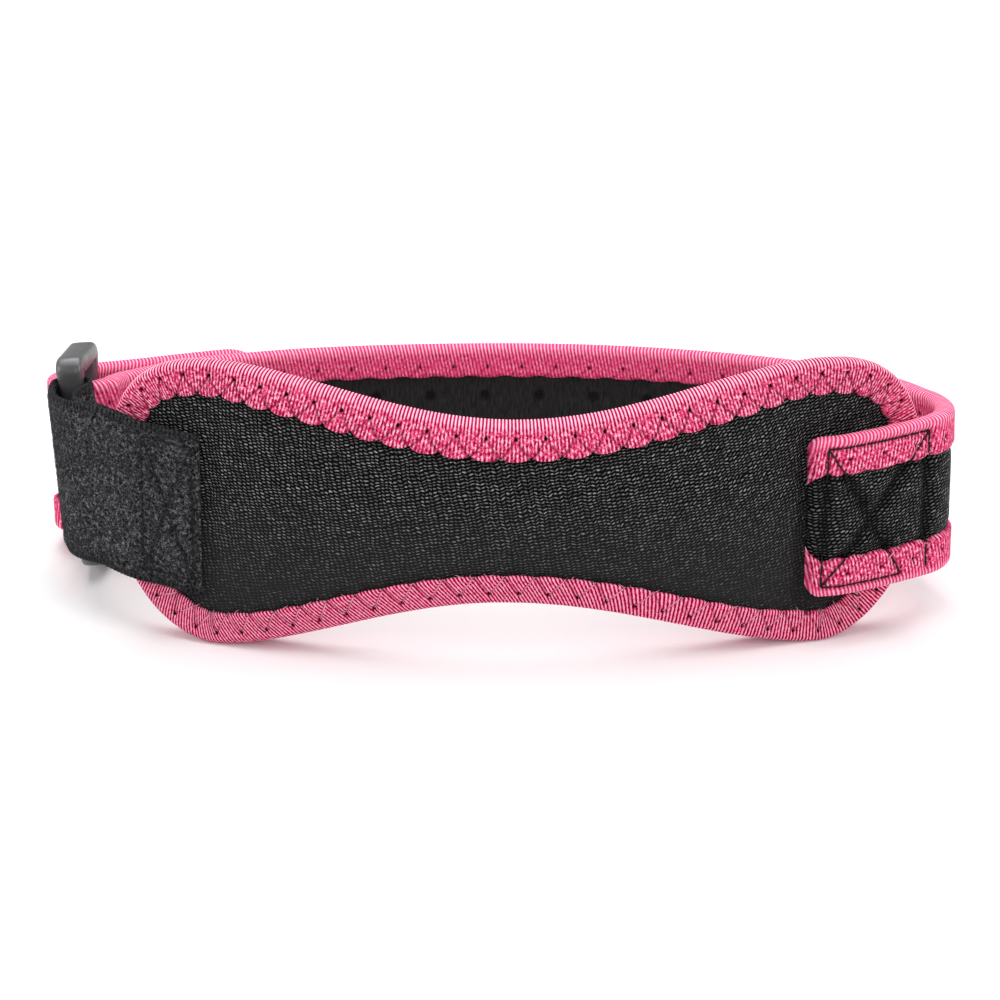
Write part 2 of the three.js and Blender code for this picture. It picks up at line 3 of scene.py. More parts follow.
import bpy
import numpy as np
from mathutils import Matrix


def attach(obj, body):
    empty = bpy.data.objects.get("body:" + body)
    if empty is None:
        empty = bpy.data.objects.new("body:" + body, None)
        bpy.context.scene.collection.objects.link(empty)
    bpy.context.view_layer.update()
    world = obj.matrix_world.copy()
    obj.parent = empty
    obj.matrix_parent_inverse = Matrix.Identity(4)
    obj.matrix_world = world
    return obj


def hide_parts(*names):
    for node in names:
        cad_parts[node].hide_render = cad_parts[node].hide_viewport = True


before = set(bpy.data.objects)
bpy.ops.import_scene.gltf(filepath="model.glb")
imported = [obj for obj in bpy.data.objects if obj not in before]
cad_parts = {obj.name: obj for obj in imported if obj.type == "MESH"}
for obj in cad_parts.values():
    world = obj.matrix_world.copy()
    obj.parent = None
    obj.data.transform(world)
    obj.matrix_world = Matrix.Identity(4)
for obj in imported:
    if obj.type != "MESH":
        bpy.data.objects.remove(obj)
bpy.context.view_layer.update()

# Front pad
# A foam core in a black knitted cover, cut as a bow tie with a narrow waist. The cover is drawn over the
# foam and sewn in all round under the edge tape, so the pad is crowned in the middle and flat at its ends.

# The whole strap is laid out level, in millimetres: in plan it is a chain of arcs from the pad's middle
LOOP_DEPTH = 73.0
FRONT_ARCS = ({"radius": 270.0, "heading": 14.5}, {"radius": 80.0, "heading": 32.0})
RIGHT_CORNER = {"radius": 10.0, "heading": 110.0, "straight": 0.0, "side_heading": 150.0}
LEFT_CORNER = {"radius": 14.8, "heading": 95.0, "straight": 13.0, "side_heading": 157.0}

# It leans out a little round the ring, and as a whole leans back until it rests on the floor
RING_FRONT_BAR = 110.0
BAR_SPACING = 15.0
RING_LEAN = 0.1
LEAN_PIVOT = 58.0
LEAN_REACH = 42.0
LEAN_BACK = math.radians(12.6)
REST_SHIFT = np.array([1.85, -41.04, 1.1])
FLOOR_CLEARANCE = 0.02
MM = 0.001
TINY = 1e-9


def smooth(value):
    value = np.clip(value, 0.0, 1.0)
    return value * value * (3.0 - 2.0 * value)


def half_loop(corner):
    """Arcs of one half of the loop as rows of x, y, heading, run and curvature, and the half's length."""
    arcs = []
    here = {"x": 0.0, "y": 0.0, "heading": 0.0, "run": 0.0}

    def turn(radius, degrees):
        heading = math.radians(degrees)
        arcs.append([*here.values(), 1.0 / radius])
        here["x"] += radius * (math.sin(heading) - math.sin(here["heading"]))
        here["y"] += radius * (math.cos(here["heading"]) - math.cos(heading))
        here["run"] += radius * (heading - here["heading"])
        here["heading"] = heading

    for arc in FRONT_ARCS:
        turn(arc["radius"], arc["heading"])
    turn(corner["radius"], corner["heading"])
    arcs.append([*here.values(), 0.0])
    here["x"] += corner["straight"] * math.cos(here["heading"])
    here["y"] += corner["straight"] * math.sin(here["heading"])
    here["run"] += corner["straight"]

    # The side and back radii that close the half loop at its full depth
    start = here["heading"]
    side = math.radians(corner["side_heading"])
    ways = np.array([
        [math.sin(side) - math.sin(start), -math.sin(side)],
        [math.cos(start) - math.cos(side), math.cos(side) + 1.0],
    ])
    side_radius, back_radius = np.linalg.solve(ways, [-here["x"], LOOP_DEPTH - here["y"]])
    turn(side_radius, corner["side_heading"])
    turn(back_radius, 180.0)
    return np.array(arcs), here["run"]


right_arcs, right_length = half_loop(RIGHT_CORNER)
left_arcs, left_length = half_loop(LEFT_CORNER)
loop_length = right_length + left_length


def on_loop(along):
    """Place x and y, outward direction and lean of the loop, by runs from the pad's middle to the right."""
    along = np.asarray(along, float)
    run = np.where(along > right_length, along - loop_length, along)
    place = np.zeros(run.shape + (4,))
    for arcs, side, chosen in ((right_arcs, 1.0, run >= 0.0), (left_arcs, -1.0, run < 0.0)):
        distance = np.abs(run[chosen])
        row = np.searchsorted(arcs[:, 3], distance + TINY, side="right") - 1
        x, y, heading, begins, bend = arcs[row].T
        past = distance - begins
        straight = bend == 0.0
        chord = np.where(straight, past, 2.0 * np.sin(past * bend / 2.0) / np.where(straight, 1.0, bend))
        middle = heading + past * bend / 2.0
        x = x + chord * np.cos(middle)
        y = y + chord * np.sin(middle)
        heading = heading + past * bend
        place[chosen] = np.stack([side * x, y, side * np.sin(heading), -np.cos(heading)], -1)
    away = np.abs(run + RING_FRONT_BAR + BAR_SPACING / 2.0) / LEAN_REACH
    lean = RING_LEAN * np.clip(1.0 - away**2, 0.0, 1.0) ** 2
    return (*np.moveaxis(place, -1, 0), lean)


def off_loop(along, out, z):
    x, y, out_x, out_y, lean = on_loop(along)
    reach = out + lean * (z - LEAN_PIVOT)
    return np.stack([x + reach * out_x, y + reach * out_y, np.broadcast_to(z, x.shape)], -1)


def to_row(points):
    """Points of the level layout, in millimetres, as the strap rests, in metres and never below the floor."""
    x, y, z = np.moveaxis(points, -1, 0)
    back = y * math.cos(LEAN_BACK) + z * math.sin(LEAN_BACK)
    up = -y * math.sin(LEAN_BACK) + z * math.cos(LEAN_BACK)
    rested = np.stack([x, back, up], -1) + REST_SHIFT
    rested[..., 2] = np.maximum(rested[..., 2], FLOOR_CLEARANCE)
    return rested * MM


# The pad's outline and crown, in its flat layout: p along the pad from its middle, z up
PAD_HEIGHT = 64.0
PAD_MID = PAD_HEIGHT / 2.0
PAD_HALF_LENGTH = 91.5
PAD_SHIFT = 3.0
LOBE_AT = 66.5
END_FULLNESS = {"top": 2.7, "bottom": 1.75}
WAIST_TOP = {"dip": 11.7, "at": 0.0}
WAIST_BOTTOM = {"dip": 11.9, "at": -3.0}
WAIST_FLATNESS = 0.8
PAD_EDGE_HALF = 1.6
CROWN_OUT = 4.8
CROWN_IN = 2.4
CROWN_END_LEFT = 68.0
CROWN_END_RIGHT = 63.0
CROWN_FALL = 15.0
CROWN_FLATNESS = 3
COVER_INSET = 1.35
OUTLINE_EDGE_POINTS = 700
OUTLINE_END_POINTS = 300
EDGE_STEP = 0.6


def waist(p, dip, at):
    reach = np.where(p < at, LOBE_AT + at, LOBE_AT - at)
    share = np.minimum(np.abs(p - at) / reach, 1.0)
    return dip * ((1.0 + np.cos(np.pi * share)) / 2.0) ** WAIST_FLATNESS


def pad_top(p):
    return PAD_HEIGHT - waist(p, **WAIST_TOP)


def pad_bottom(p):
    return waist(p, **WAIST_BOTTOM)


def pad_end(turn):
    """One end of the outline, by angle from its top to its bottom; it is fuller above than below."""
    rise = np.cos(turn)
    power = 2.0 / np.where(rise > 0.0, END_FULLNESS["top"], END_FULLNESS["bottom"])
    p = LOBE_AT + (PAD_HALF_LENGTH - LOBE_AT) * np.sin(turn) ** power
    return p, PAD_MID + np.sign(rise) * PAD_MID * np.abs(rise) ** power


def pad_outline():
    """Dense closed outline, clockwise from the left lobe's top."""
    level = np.linspace(-LOBE_AT, LOBE_AT, OUTLINE_EDGE_POINTS, endpoint=False)
    turn = np.linspace(0.0, np.pi, OUTLINE_END_POINTS, endpoint=False)
    right_p, right_z = pad_end(turn)
    left_p, left_z = pad_end(np.pi - turn)
    p = np.concatenate([level, right_p, -level, -left_p, level[:1]])
    z = np.concatenate([pad_top(level), right_z, pad_bottom(-level), left_z, pad_top(level[:1])])
    return np.stack([p, z], -1)


outline = pad_outline()
outline_run = np.concatenate([[0.0], np.cumsum(np.linalg.norm(np.diff(outline, axis=0), axis=1))])
edge_length = outline_run[-1]


def edge_point(run):
    run = np.mod(run, edge_length)
    return np.stack([np.interp(run, outline_run, outline[:, axis]) for axis in (0, 1)], -1)


def pad_edge(run):
    """Points of the outline at runs round it, and the way in from each."""
    way = edge_point(run + EDGE_STEP) - edge_point(run - EDGE_STEP)
    way /= np.linalg.norm(way, axis=-1, keepdims=True)
    return edge_point(run), np.stack([way[..., 1], -way[..., 0]], -1)


def crown(p, z):
    """Share of the crown that stands at a place: all of it in the middle, none at the edges."""
    low = pad_bottom(p)
    high = pad_top(p)
    across = np.minimum(np.abs((2.0 * z - low - high) / (high - low)), 1.0)
    end = np.where(p < 0.0, CROWN_END_LEFT, CROWN_END_RIGHT)
    return smooth((end - np.abs(p)) / CROWN_FALL) * (1.0 - across**CROWN_FLATNESS)


def pad_face(p, z, side, fill=1.0):
    """Distance of the pad's front (side 1) or back (side -1) face from the loop."""
    return side * (PAD_EDGE_HALF + fill * np.where(side > 0, CROWN_OUT, CROWN_IN) * crown(p, z))


# The cover is a loft of closed sections along p, up the front and down the back
COVER_COLUMNS = 280
COVER_FRONT_ROWS = 76
COVER_BACK_ROWS = 44
COVER_END_CROWDING = 0.25
COVER_EDGE_CROWDING = 0.92
STITCH_PITCH = 6.1
PAD_TAPE_WIDTH = 7.2
PUCKER = {"depth": 0.3, "reach": 4.5, "fade": 3.0}
COVER_RIPPLES = {"height": 0.16, "run": 11.0, "up": 9.0, "cross_up": 7.5, "cross_run": 17.0}
COVER_RIPPLES_FROM_EDGE = 12.0
START_FILL = 0.92
CLOTH_EVERY = 2
CLOTH_SCALE = 0.02
CLOTH_FRAMES = 20
CLOTH_REACH = 1.2
CLOTH_SETTINGS = {
    "quality": 6,
    "mass": 0.03,
    "tension_stiffness": 12.0,
    "compression_stiffness": 12.0,
    "shear_stiffness": 5.0,
    "bending_stiffness": 0.3,
    "vertex_group_mass": "sewn",
    "use_pressure": True,
    "uniform_pressure_force": 4.0,
}
HELD_CROWN = 0.03


def grid_faces(rows, columns, closed_rows=False):
    """Quads of a loft whose rows run along the piece and whose columns go round it."""
    row = np.arange(rows if closed_rows else rows - 1)[:, None]
    column = np.arange(columns)[None, :]
    next_row = (row + 1) % rows
    next_column = (column + 1) % columns
    corners = [(row, column), (next_row, column), (next_row, next_column), (row, next_column)]
    return np.stack([r * columns + c for r, c in corners], -1).reshape(-1, 4).tolist()


def swell(grid, relief, closed_rows=False):
    """Moves a loft's points out along its own normals by a relief in millimetres."""
    if closed_rows:
        row_way = np.roll(grid, -1, 0) - np.roll(grid, 1, 0)
    else:
        row_way = np.gradient(grid, axis=0)
    column_way = np.roll(grid, -1, 1) - np.roll(grid, 1, 1)
    normal = np.cross(row_way, column_way)
    normal /= np.maximum(np.linalg.norm(normal, axis=-1, keepdims=True), TINY)
    return grid + relief[..., None] * normal


def make_piece(name, points, faces, **fields):
    """A smooth mesh object from level points; each field is kept with it as a vector for every point."""
    mesh = bpy.data.meshes.new(name)
    mesh.from_pydata(to_row(points.reshape(-1, 3)).tolist(), [], faces)
    for field, values in fields.items():
        layer = mesh.attributes.new(field, "FLOAT_VECTOR", "POINT")
        layer.data.foreach_set("vector", np.asarray(values, np.float32).ravel())
    mesh.shade_smooth()
    piece = bpy.data.objects.new(name, mesh)
    bpy.context.collection.objects.link(piece)
    return piece


def vectors(*parts):
    return np.stack(np.broadcast_arrays(*parts), -1).reshape(-1, 3)


def cover_section():
    """The cover's columns: p, the heights of its two edges, and the runs of the edge tape there."""
    edge, inward = pad_edge(outline_run[:-1])
    inset = edge + COVER_INSET * inward
    left_end, right_end = np.argmin(inset[:, 0]), np.argmax(inset[:, 0])
    order = np.roll(np.arange(len(inset)), -left_end)
    turn = (right_end - left_end) % len(inset)
    upper, lower = order[: turn + 1], order[turn:][::-1]
    angle = np.linspace(-np.pi / 2.0, np.pi / 2.0, COVER_COLUMNS)
    spread = (1.0 - COVER_END_CROWDING) * angle / (np.pi / 2.0) + COVER_END_CROWDING * np.sin(angle)
    p = np.interp(spread, [-1.0, 1.0], [inset[left_end, 0], inset[right_end, 0]])
    high = np.interp(p, inset[upper, 0], inset[upper, 1])
    low = np.interp(p, inset[lower, 0], inset[lower, 1])
    run_high = np.interp(p, inset[upper, 0], outline_run[:-1][upper])
    run_low = np.interp(p, inset[lower, 0], outline_run[:-1][lower])
    return p, low, high, run_low, run_high


def blown_out(grid, held):
    """How far the foam pushes the cover's points out: a cloth simulation, held where the cover is sewn."""
    rows = np.arange(1, grid.shape[0] - 1, CLOTH_EVERY)
    columns = np.arange(0, grid.shape[1], CLOTH_EVERY)
    start = grid[rows][:, columns]
    mesh = bpy.data.meshes.new("cover_cloth")
    mesh.from_pydata((start.reshape(-1, 3) * CLOTH_SCALE).tolist(), [], grid_faces(len(rows), len(columns)))
    cloth = bpy.data.objects.new("cover_cloth", mesh)
    bpy.context.collection.objects.link(cloth)
    sewn = cloth.vertex_groups.new(name="sewn")
    sewn.add(np.flatnonzero(held[rows][:, columns]).tolist(), 1.0, "REPLACE")
    modifier = cloth.modifiers.new("cloth", "CLOTH")
    modifier.point_cache.frame_start = 1
    modifier.point_cache.frame_end = CLOTH_FRAMES
    for setting, value in CLOTH_SETTINGS.items():
        setattr(modifier.settings, setting, value)
    modifier.settings.effector_weights.gravity = 0.0
    for step in range(1, CLOTH_FRAMES + 1):
        bpy.context.scene.frame_set(step)
    blown = cloth.evaluated_get(bpy.context.evaluated_depsgraph_get()).data
    ends = np.empty(start.size, np.float32)
    blown.vertices.foreach_get("co", ends)
    push = ends.reshape(start.shape) / CLOTH_SCALE - start
    pushed = np.linalg.norm(push, axis=-1, keepdims=True)
    push *= np.minimum(1.0, CLOTH_REACH / np.maximum(pushed, TINY))
    bpy.context.scene.frame_set(1)
    bpy.data.objects.remove(cloth)
    bpy.data.meshes.remove(mesh)

    # The pushes of the coarse cloth, read at every point of the fine cover
    row = np.interp(np.arange(grid.shape[0]), rows, np.arange(len(rows)))
    low = np.minimum(row.astype(int), len(rows) - 2)
    share = (row - low)[:, None, None]
    push = push[low] * (1.0 - share) + push[low + 1] * share
    column = np.arange(grid.shape[1]) / CLOTH_EVERY
    low = column.astype(int)
    share = (column - low)[None, :, None]
    return push[:, low] * (1.0 - share) + push[:, (low + 1) % len(columns)] * share


def ripples(run, up, sizes):
    """Slow unevenness of soft cloth: two slanting waves laid across each other."""
    wave = np.sin(run / sizes["run"] + up / sizes["up"])
    cross_wave = np.sin(up / sizes["cross_up"] - run / sizes["cross_run"])
    return sizes["height"] * wave * cross_wave


def cover_points():
    """The cover's grid, puckered beside the edge tape's stitches, and where each point lies on the pad."""
    p, low, high, run_low, run_high = cover_section()
    turn = COVER_EDGE_CROWDING * np.pi / 2.0
    front = np.sin(np.linspace(-turn, turn, COVER_FRONT_ROWS)) / math.sin(turn)
    back = np.linspace(1.0, -1.0, COVER_BACK_ROWS)
    across = np.concatenate([front, back])[None, :]
    side = np.concatenate([np.ones(COVER_FRONT_ROWS), -np.ones(COVER_BACK_ROWS)])[None, :]
    z = (low + high)[:, None] / 2.0 + across * (high - low)[:, None] / 2.0
    flat_p = np.broadcast_to(p[:, None], z.shape)
    depth = np.minimum(z - low[:, None], high[:, None] - z) + COVER_INSET
    grid = off_loop(flat_p + PAD_SHIFT, pad_face(flat_p, z, side, START_FILL), z)
    grid = grid + blown_out(grid, (depth < PAD_TAPE_WIDTH) | (crown(flat_p, z) < HELD_CROWN))
    run = np.where(across > 0.0, run_high[:, None], run_low[:, None])
    past_tape = np.clip((depth - PAD_TAPE_WIDTH) / PUCKER["reach"], -1.0, 1.0)
    fade = np.exp(-PUCKER["fade"] * np.maximum(past_tape, 0.0)) * smooth(1.0 + past_tape)
    relief = -PUCKER["depth"] * fade * (0.5 - 0.5 * np.cos(2.0 * np.pi * run / STITCH_PITCH))
    relief += ripples(flat_p, z, COVER_RIPPLES) * smooth(depth / COVER_RIPPLES_FROM_EDGE)
    return swell(grid, relief), vectors(flat_p, z, side)


cover_grid, cover_lay = cover_points()
front_pad = make_piece(
    "pad_cover",
    cover_grid,
    grid_faces(COVER_COLUMNS, COVER_FRONT_ROWS + COVER_BACK_ROWS),
    lay=cover_lay,
)


class Nodes:
    """Adds nodes to one tree. Each input is a plain value or another node's output."""

    def __init__(self, tree):
        self.tree = tree

    def feed(self, sockets, inputs):
        for socket, value in inputs.items():
            if isinstance(value, bpy.types.NodeSocket):
                self.tree.links.new(value, sockets[socket])
            else:
                sockets[socket].default_value = value

    def node(self, kind, inputs, **settings):
        node = self.tree.nodes.new(kind)
        for name, value in settings.items():
            setattr(node, name, value)
        self.feed(node.inputs, inputs)
        return node.outputs

    def add(self, kind, inputs, output=0, **settings):
        return self.node(kind, inputs, **settings)[output]

    def math(self, operation, *values, clamp=False):
        inputs = dict(enumerate(values))
        return self.add("ShaderNodeMath", inputs, operation=operation, use_clamp=clamp)

    def mix(self, share, first, second):
        inputs = {0: share, 6: first, 7: second}
        return self.add("ShaderNodeMix", inputs, output=2, data_type="RGBA")

    def between(self, value, low, high, to_low=0.0, to_high=1.0):
        inputs = {0: value, 1: low, 2: high, 3: to_low, 4: to_high}
        return self.add("ShaderNodeMapRange", inputs)

    def scaled(self, vector, factors, plus=(0.0, 0.0, 0.0)):
        inputs = {0: vector, 1: factors, 2: plus}
        return self.add("ShaderNodeVectorMath", inputs, operation="MULTIPLY_ADD")

    def noise(self, vector, scale, detail, output="Fac", **more):
        inputs = {"Vector": vector, "Scale": scale, "Detail": detail, **more}
        return self.add("ShaderNodeTexNoise", inputs, output=output)

    def bump(self, height, strength, distance):
        inputs = {"Strength": strength, "Distance": distance * MM, "Height": height}
        return self.add("ShaderNodeBump", inputs)

    def field(self, name):
        return self.add("ShaderNodeAttribute", {}, output="Vector", attribute_name=name)

    def parts(self, vector):
        return tuple(self.node("ShaderNodeSeparateXYZ", {0: vector}))

    def group(self, tree, inputs):
        return self.node("ShaderNodeGroup", inputs, node_tree=tree)


def new_group(name, inputs, outputs):
    """An empty shader node group with named sockets, its node adder, and the sockets to read and to feed."""
    tree = bpy.data.node_groups.new(name, "ShaderNodeTree")
    for socket, kind in inputs.items():
        tree.interface.new_socket(socket, in_out="INPUT", socket_type=kind)
    for socket, kind in outputs.items():
        tree.interface.new_socket(socket, in_out="OUTPUT", socket_type=kind)
    given = tree.nodes.new("NodeGroupInput").outputs
    result = tree.nodes.new("NodeGroupOutput").inputs
    return tree, Nodes(tree), given, result


STITCH_HALF_LENGTH = 0.47
STITCH_HALF_HEIGHT = 0.25
STITCH_STAGGER = 0.13
STITCH_DRIFT = 1.7
STITCH_DRIFT_NOISE = {"scale": 0.3, "detail": 3.0}
STITCH_SLOPE = 0.6
STITCH_ZIGZAG = 0.5


def knit_stitches():
    """Rows of short stitches in columns that stand a little askew. Their lean, given from outside, is partly
    painted highlight: it picks out the yarn's slopes that face the side lamps.
    """
    number, vector = "NodeSocketFloat", "NodeSocketVector"
    sizes = {"Lay": vector, "Wale": number, "Course": number, "Lean": number, "Bias": number}
    tree, nodes, given, result = new_group("Knit stitches", sizes, {"Height": number, "Tone": number})
    drift = nodes.noise(given["Lay"], output="Color", **STITCH_DRIFT_NOISE)
    drift = nodes.add("ShaderNodeVectorMath", {0: drift, 1: (0.5, 0.5, 0.5)}, operation="SUBTRACT")
    x, y, _ = nodes.parts(nodes.scaled(drift, (STITCH_DRIFT,) * 3, given["Lay"]))
    climb = nodes.math("SUBTRACT", y, nodes.math("MULTIPLY", x, given["Bias"]))
    courses = nodes.math("DIVIDE", climb, given["Course"])
    row = nodes.math("FLOOR", courses)
    up = nodes.math("SUBTRACT", nodes.math("FRACT", courses), 0.5)
    wales = nodes.math("MULTIPLY_ADD", row, STITCH_STAGGER, nodes.math("DIVIDE", x, given["Wale"]))
    column = nodes.math("FLOOR", wales)
    across = nodes.math("SUBTRACT", nodes.math("FRACT", wales), 0.5)

    # Columns lean to either side in turn where the painted lean is small, as the yarn's zigzag: -1 for even
    # ones and 1 for odd ones
    parity = nodes.math("MULTIPLY_ADD", nodes.math("FRACT", nodes.math("MULTIPLY", column, 0.5)), 4.0, -1.0)
    level = nodes.math("SUBTRACT", 1.0, nodes.math("ABSOLUTE", given["Lean"]))
    wave = nodes.math("MULTIPLY", nodes.math("MULTIPLY", parity, level), STITCH_ZIGZAG)
    slope = nodes.math("MULTIPLY_ADD", given["Lean"], STITCH_SLOPE, wave)
    rise = nodes.math("SUBTRACT", up, nodes.math("MULTIPLY", slope, across))
    tall = nodes.math("POWER", nodes.math("DIVIDE", nodes.math("ABSOLUTE", rise), STITCH_HALF_HEIGHT), 2.0)
    long = nodes.math("POWER", nodes.math("DIVIDE", nodes.math("ABSOLUTE", across), STITCH_HALF_LENGTH), 2.0)
    height = nodes.math("SQRT", nodes.math("SUBTRACT", 1.0, nodes.math("ADD", tall, long), clamp=True))
    cell = nodes.add("ShaderNodeCombineXYZ", {0: column, 1: row})
    tone = nodes.add("ShaderNodeTexWhiteNoise", {"Vector": cell}, noise_dimensions="2D")
    nodes.feed(result, {"Height": height, "Tone": tone})
    return tree


stitches = knit_stitches()


def new_material(name, plain):
    """A material with plain values on its Principled shader, the shader's sockets and a node adder."""
    material = bpy.data.materials.new(name)
    material.use_nodes = True
    shader = material.node_tree.nodes["Principled BSDF"].inputs
    nodes = Nodes(material.node_tree)
    nodes.feed(shader, plain)
    return material, shader, nodes


KNIT_GROUND = (0.0025, 0.0025, 0.0028, 1.0)
KNIT_YARN = (0.095, 0.095, 0.098, 1.0)
KNIT_PAINTED_GLINT = (0.42, 0.42, 0.425, 1.0)
KNIT_INNER = (0.029, 0.0285, 0.0295, 1.0)
KNIT_INNER_DARK = (0.013, 0.0125, 0.0135, 1.0)
KNIT_PAINTED_SHADE = (0.024, 0.024, 0.025, 1.0)
KNIT_PAINTED_SHADE_SPAN = (15.0, 38.0)
KNIT_PLAIN = {"Specular IOR Level": 0.03}
KNIT_ROUGHNESS = {"dull": 0.7, "shiny": 0.45}
KNIT_BUMP = 0.9
NAP_STRETCH = (2.0, 0.35, 1.0)
NAP_NOISE = {"scale": 1.0, "detail": 3.0, "Roughness": 0.6}
NAP_SPAN = (0.35, 0.65)
NAP_RAISED = 0.7
SUNK_SHADE = {"seam": 0.75, "vent": 0.45}


def knit(name, wale, course, bias, painted_lean_span, painted_glint_share, depth, painted_shade=0.0):
    """Black knitted fabric: dark ground, thin pale stitches with painted glints, painted shade low down and
    in seams and vents, and an inner face that is brushed smooth.
    """
    material, shader, nodes = new_material(name, KNIT_PLAIN)
    lay = nodes.field("lay")
    x, height, side = nodes.parts(lay)
    outer = nodes.between(side, -1.0, 1.0)
    # Stitches lean one way on the left and the other way on the right: a painted highlight on the yarn slopes
    # that face each side lamp
    lean = nodes.between(x, *painted_lean_span, -1.0, 1.0)
    sizes = {"Lay": lay, "Wale": wale, "Course": course, "Lean": lean, "Bias": bias}
    knitted = nodes.group(stitches, sizes)
    shown = nodes.math("MULTIPLY", knitted["Height"], outer)
    # Painted glints: a few stitches are paled in the colour as if their nylon caught the light
    painted_glint = nodes.math("MULTIPLY", nodes.math("POWER", knitted["Tone"], 2.0), nodes.math("POWER", shown, 2.0))
    nap = nodes.noise(nodes.scaled(lay, NAP_STRETCH), **NAP_NOISE)
    inner = nodes.mix(nodes.between(nap, *NAP_SPAN), KNIT_INNER_DARK, KNIT_INNER)
    colour = nodes.mix(outer, inner, KNIT_GROUND)
    colour = nodes.mix(shown, colour, KNIT_YARN)
    colour = nodes.mix(nodes.math("MULTIPLY", painted_glint, painted_glint_share, clamp=True), colour, KNIT_PAINTED_GLINT)
    # Painted shade: the stitches are dulled towards the pad's lower part, which gets less light
    low = nodes.between(height, *KNIT_PAINTED_SHADE_SPAN, painted_shade, 0.0)
    colour = nodes.mix(nodes.math("MULTIPLY", low, outer), colour, KNIT_PAINTED_SHADE)
    # Painted shade in the seam valleys and in the vents' dents
    seam, vent, _ = nodes.parts(nodes.field("relief"))
    seam = nodes.math("MULTIPLY", seam, SUNK_SHADE["seam"])
    vent = nodes.math("MULTIPLY", vent, SUNK_SHADE["vent"])
    colour = nodes.mix(nodes.math("MAXIMUM", seam, vent), colour, KNIT_GROUND)
    brushed = nodes.math("MULTIPLY", nap, nodes.between(side, -1.0, 1.0, NAP_RAISED, 0.0))
    nodes.feed(shader, {
        "Base Color": colour,
        "Roughness": nodes.between(knitted["Tone"], 0.0, 1.0, *KNIT_ROUGHNESS.values()),
        "Normal": nodes.bump(nodes.math("ADD", shown, brushed), KNIT_BUMP, depth),
    })
    return material


PAD_KNIT = {
    "wale": 0.98,
    "course": 0.74,
    "bias": 0.14,
    "painted_lean_span": (-45.0, 45.0),
    "painted_glint_share": 0.75,
    "depth": 0.28,
    "painted_shade": 0.72,
}
front_pad.data.materials.append(knit("pad_knit", **PAD_KNIT))
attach(front_pad, "root")
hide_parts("front_pad")

# Pad binding
# A pink ribbed elastic tape folded over the pad's edge and zigzag sewn through, all the way round. The
# thread draws the tape into a needle hole at each stitch and gathers its free edge into small scallops.

TAPE_FRONT = {"top": 7.3, "bottom": 7.2}
TAPE_BACK = 7.6
TAPE_LIFT = 1.5
TAPE_THIN = 0.75
TAPE_INNER_LIFT = 0.4
TAPE_EDGE_LIFT = 0.12
TAPE_EDGE_TURN = {"front": 0.06, "back": 0.13}
TAPE_INNER_INSET = 0.4
TAPE_INNER_DROP = 0.06
TAPE_FOLD_INSIDE = {"depth": 1.1, "lift": -0.6}
ROLL_DEPTH = 1.7
ROLL_POWER = 2.3
ROLL_SPAN = (0.5, 1.9)
UPPER_STEEPNESS = 1.4
RIB_PITCH = 0.77
RIB_STEPS = 4
RIB_LEAN = 0.6
RIB_LEANS_TO = {"p": 45.0, "over": 40.0}
HOLE_DEPTH_IN = 2.8
HOLE_RADIUS = 0.5
HOLE_SUNK = 0.75
CREASE_WIDTH = 0.22
CREASE_START = 0.6
CREASE_SUNK = 0.34
CREASE_SHADE = {"top": 1.0, "bottom": 0.6}
SCALLOP = {"top": 0.7, "bottom": 0.3}
SCALLOP_POWER = 2.4
PUFF = {"top": 0.3, "bottom": 0.24}
PUFF_REACH = 1.5
RIB_HEIGHT = {"roll": 0.13, "top": 0.05, "bottom": 0.11}
FACE_COLUMNS = 19
ROLL_COLUMNS = 8
BACK_COLUMNS = 5
LOWER_SPECKLE = 0.36

hole_count = round(edge_length / STITCH_PITCH)
hole_pitch = edge_length / hole_count
rib_count = round(edge_length / RIB_PITCH)
tape_run = np.arange(rib_count * RIB_STEPS) * edge_length / (rib_count * RIB_STEPS)


def stitch_phase(run, pitch):
    """Distance along the edge to the nearest needle hole, in stitches from -0.5 to 0.5."""
    return np.mod(run / pitch + 0.5, 1.0) - 0.5


def scallop(run, pitch):
    """1 under each needle hole and 0 in the notch between two."""
    return 1.0 - np.abs(2.0 * stitch_phase(run, pitch)) ** SCALLOP_POWER


def zigzag_marks(run, depth, width, hole_in, pitch):
    """How far a place is sunk by the zigzag's crease and by its needle hole, each from 0 to 1."""
    aside = np.abs(stitch_phase(run, pitch)) * pitch
    past = depth - hole_in
    reach = width - hole_in
    off_crease = np.abs(aside * reach - past * pitch / 2.0) / np.hypot(reach, pitch / 2.0)
    crease = np.exp(-((off_crease / CREASE_WIDTH) ** 2)) * smooth(past / CREASE_START + 0.5)
    hole = np.exp(-((aside**2 + past**2) / HOLE_RADIUS**2))
    return crease, hole


def upper_share(inward):
    """1 along the pad's upper edge and 0 along its lower edge."""
    return smooth((1.0 - UPPER_STEEPNESS * inward[..., 1]) / 2.0)


def by_edge(sizes, upper):
    return sizes["bottom"] + (sizes["top"] - sizes["bottom"]) * upper


def pad_tape_width(run):
    """Width of the tape's front face, with a scallop at each needle hole."""
    upper = upper_share(pad_edge(run)[1])
    return by_edge(TAPE_FRONT, upper) + by_edge(SCALLOP, upper) * (scallop(run, hole_pitch) - 0.5)


def pad_tape_lift(depth, width):
    """Height of the tape's face off the pad: full at the roll, thin at its sewn edge."""
    return TAPE_LIFT - TAPE_THIN * np.clip((depth - ROLL_DEPTH) / (width - ROLL_DEPTH), 0.0, 1.0)


def on_pad_face(run, depth, lift, side):
    """A point in from the pad's edge, lifted off its front or back face."""
    edge, inward = pad_edge(run)
    p, z = np.moveaxis(edge + depth[..., None] * inward, -1, 0)
    return off_loop(p + PAD_SHIFT, pad_face(p, z, side) + side * lift, z)


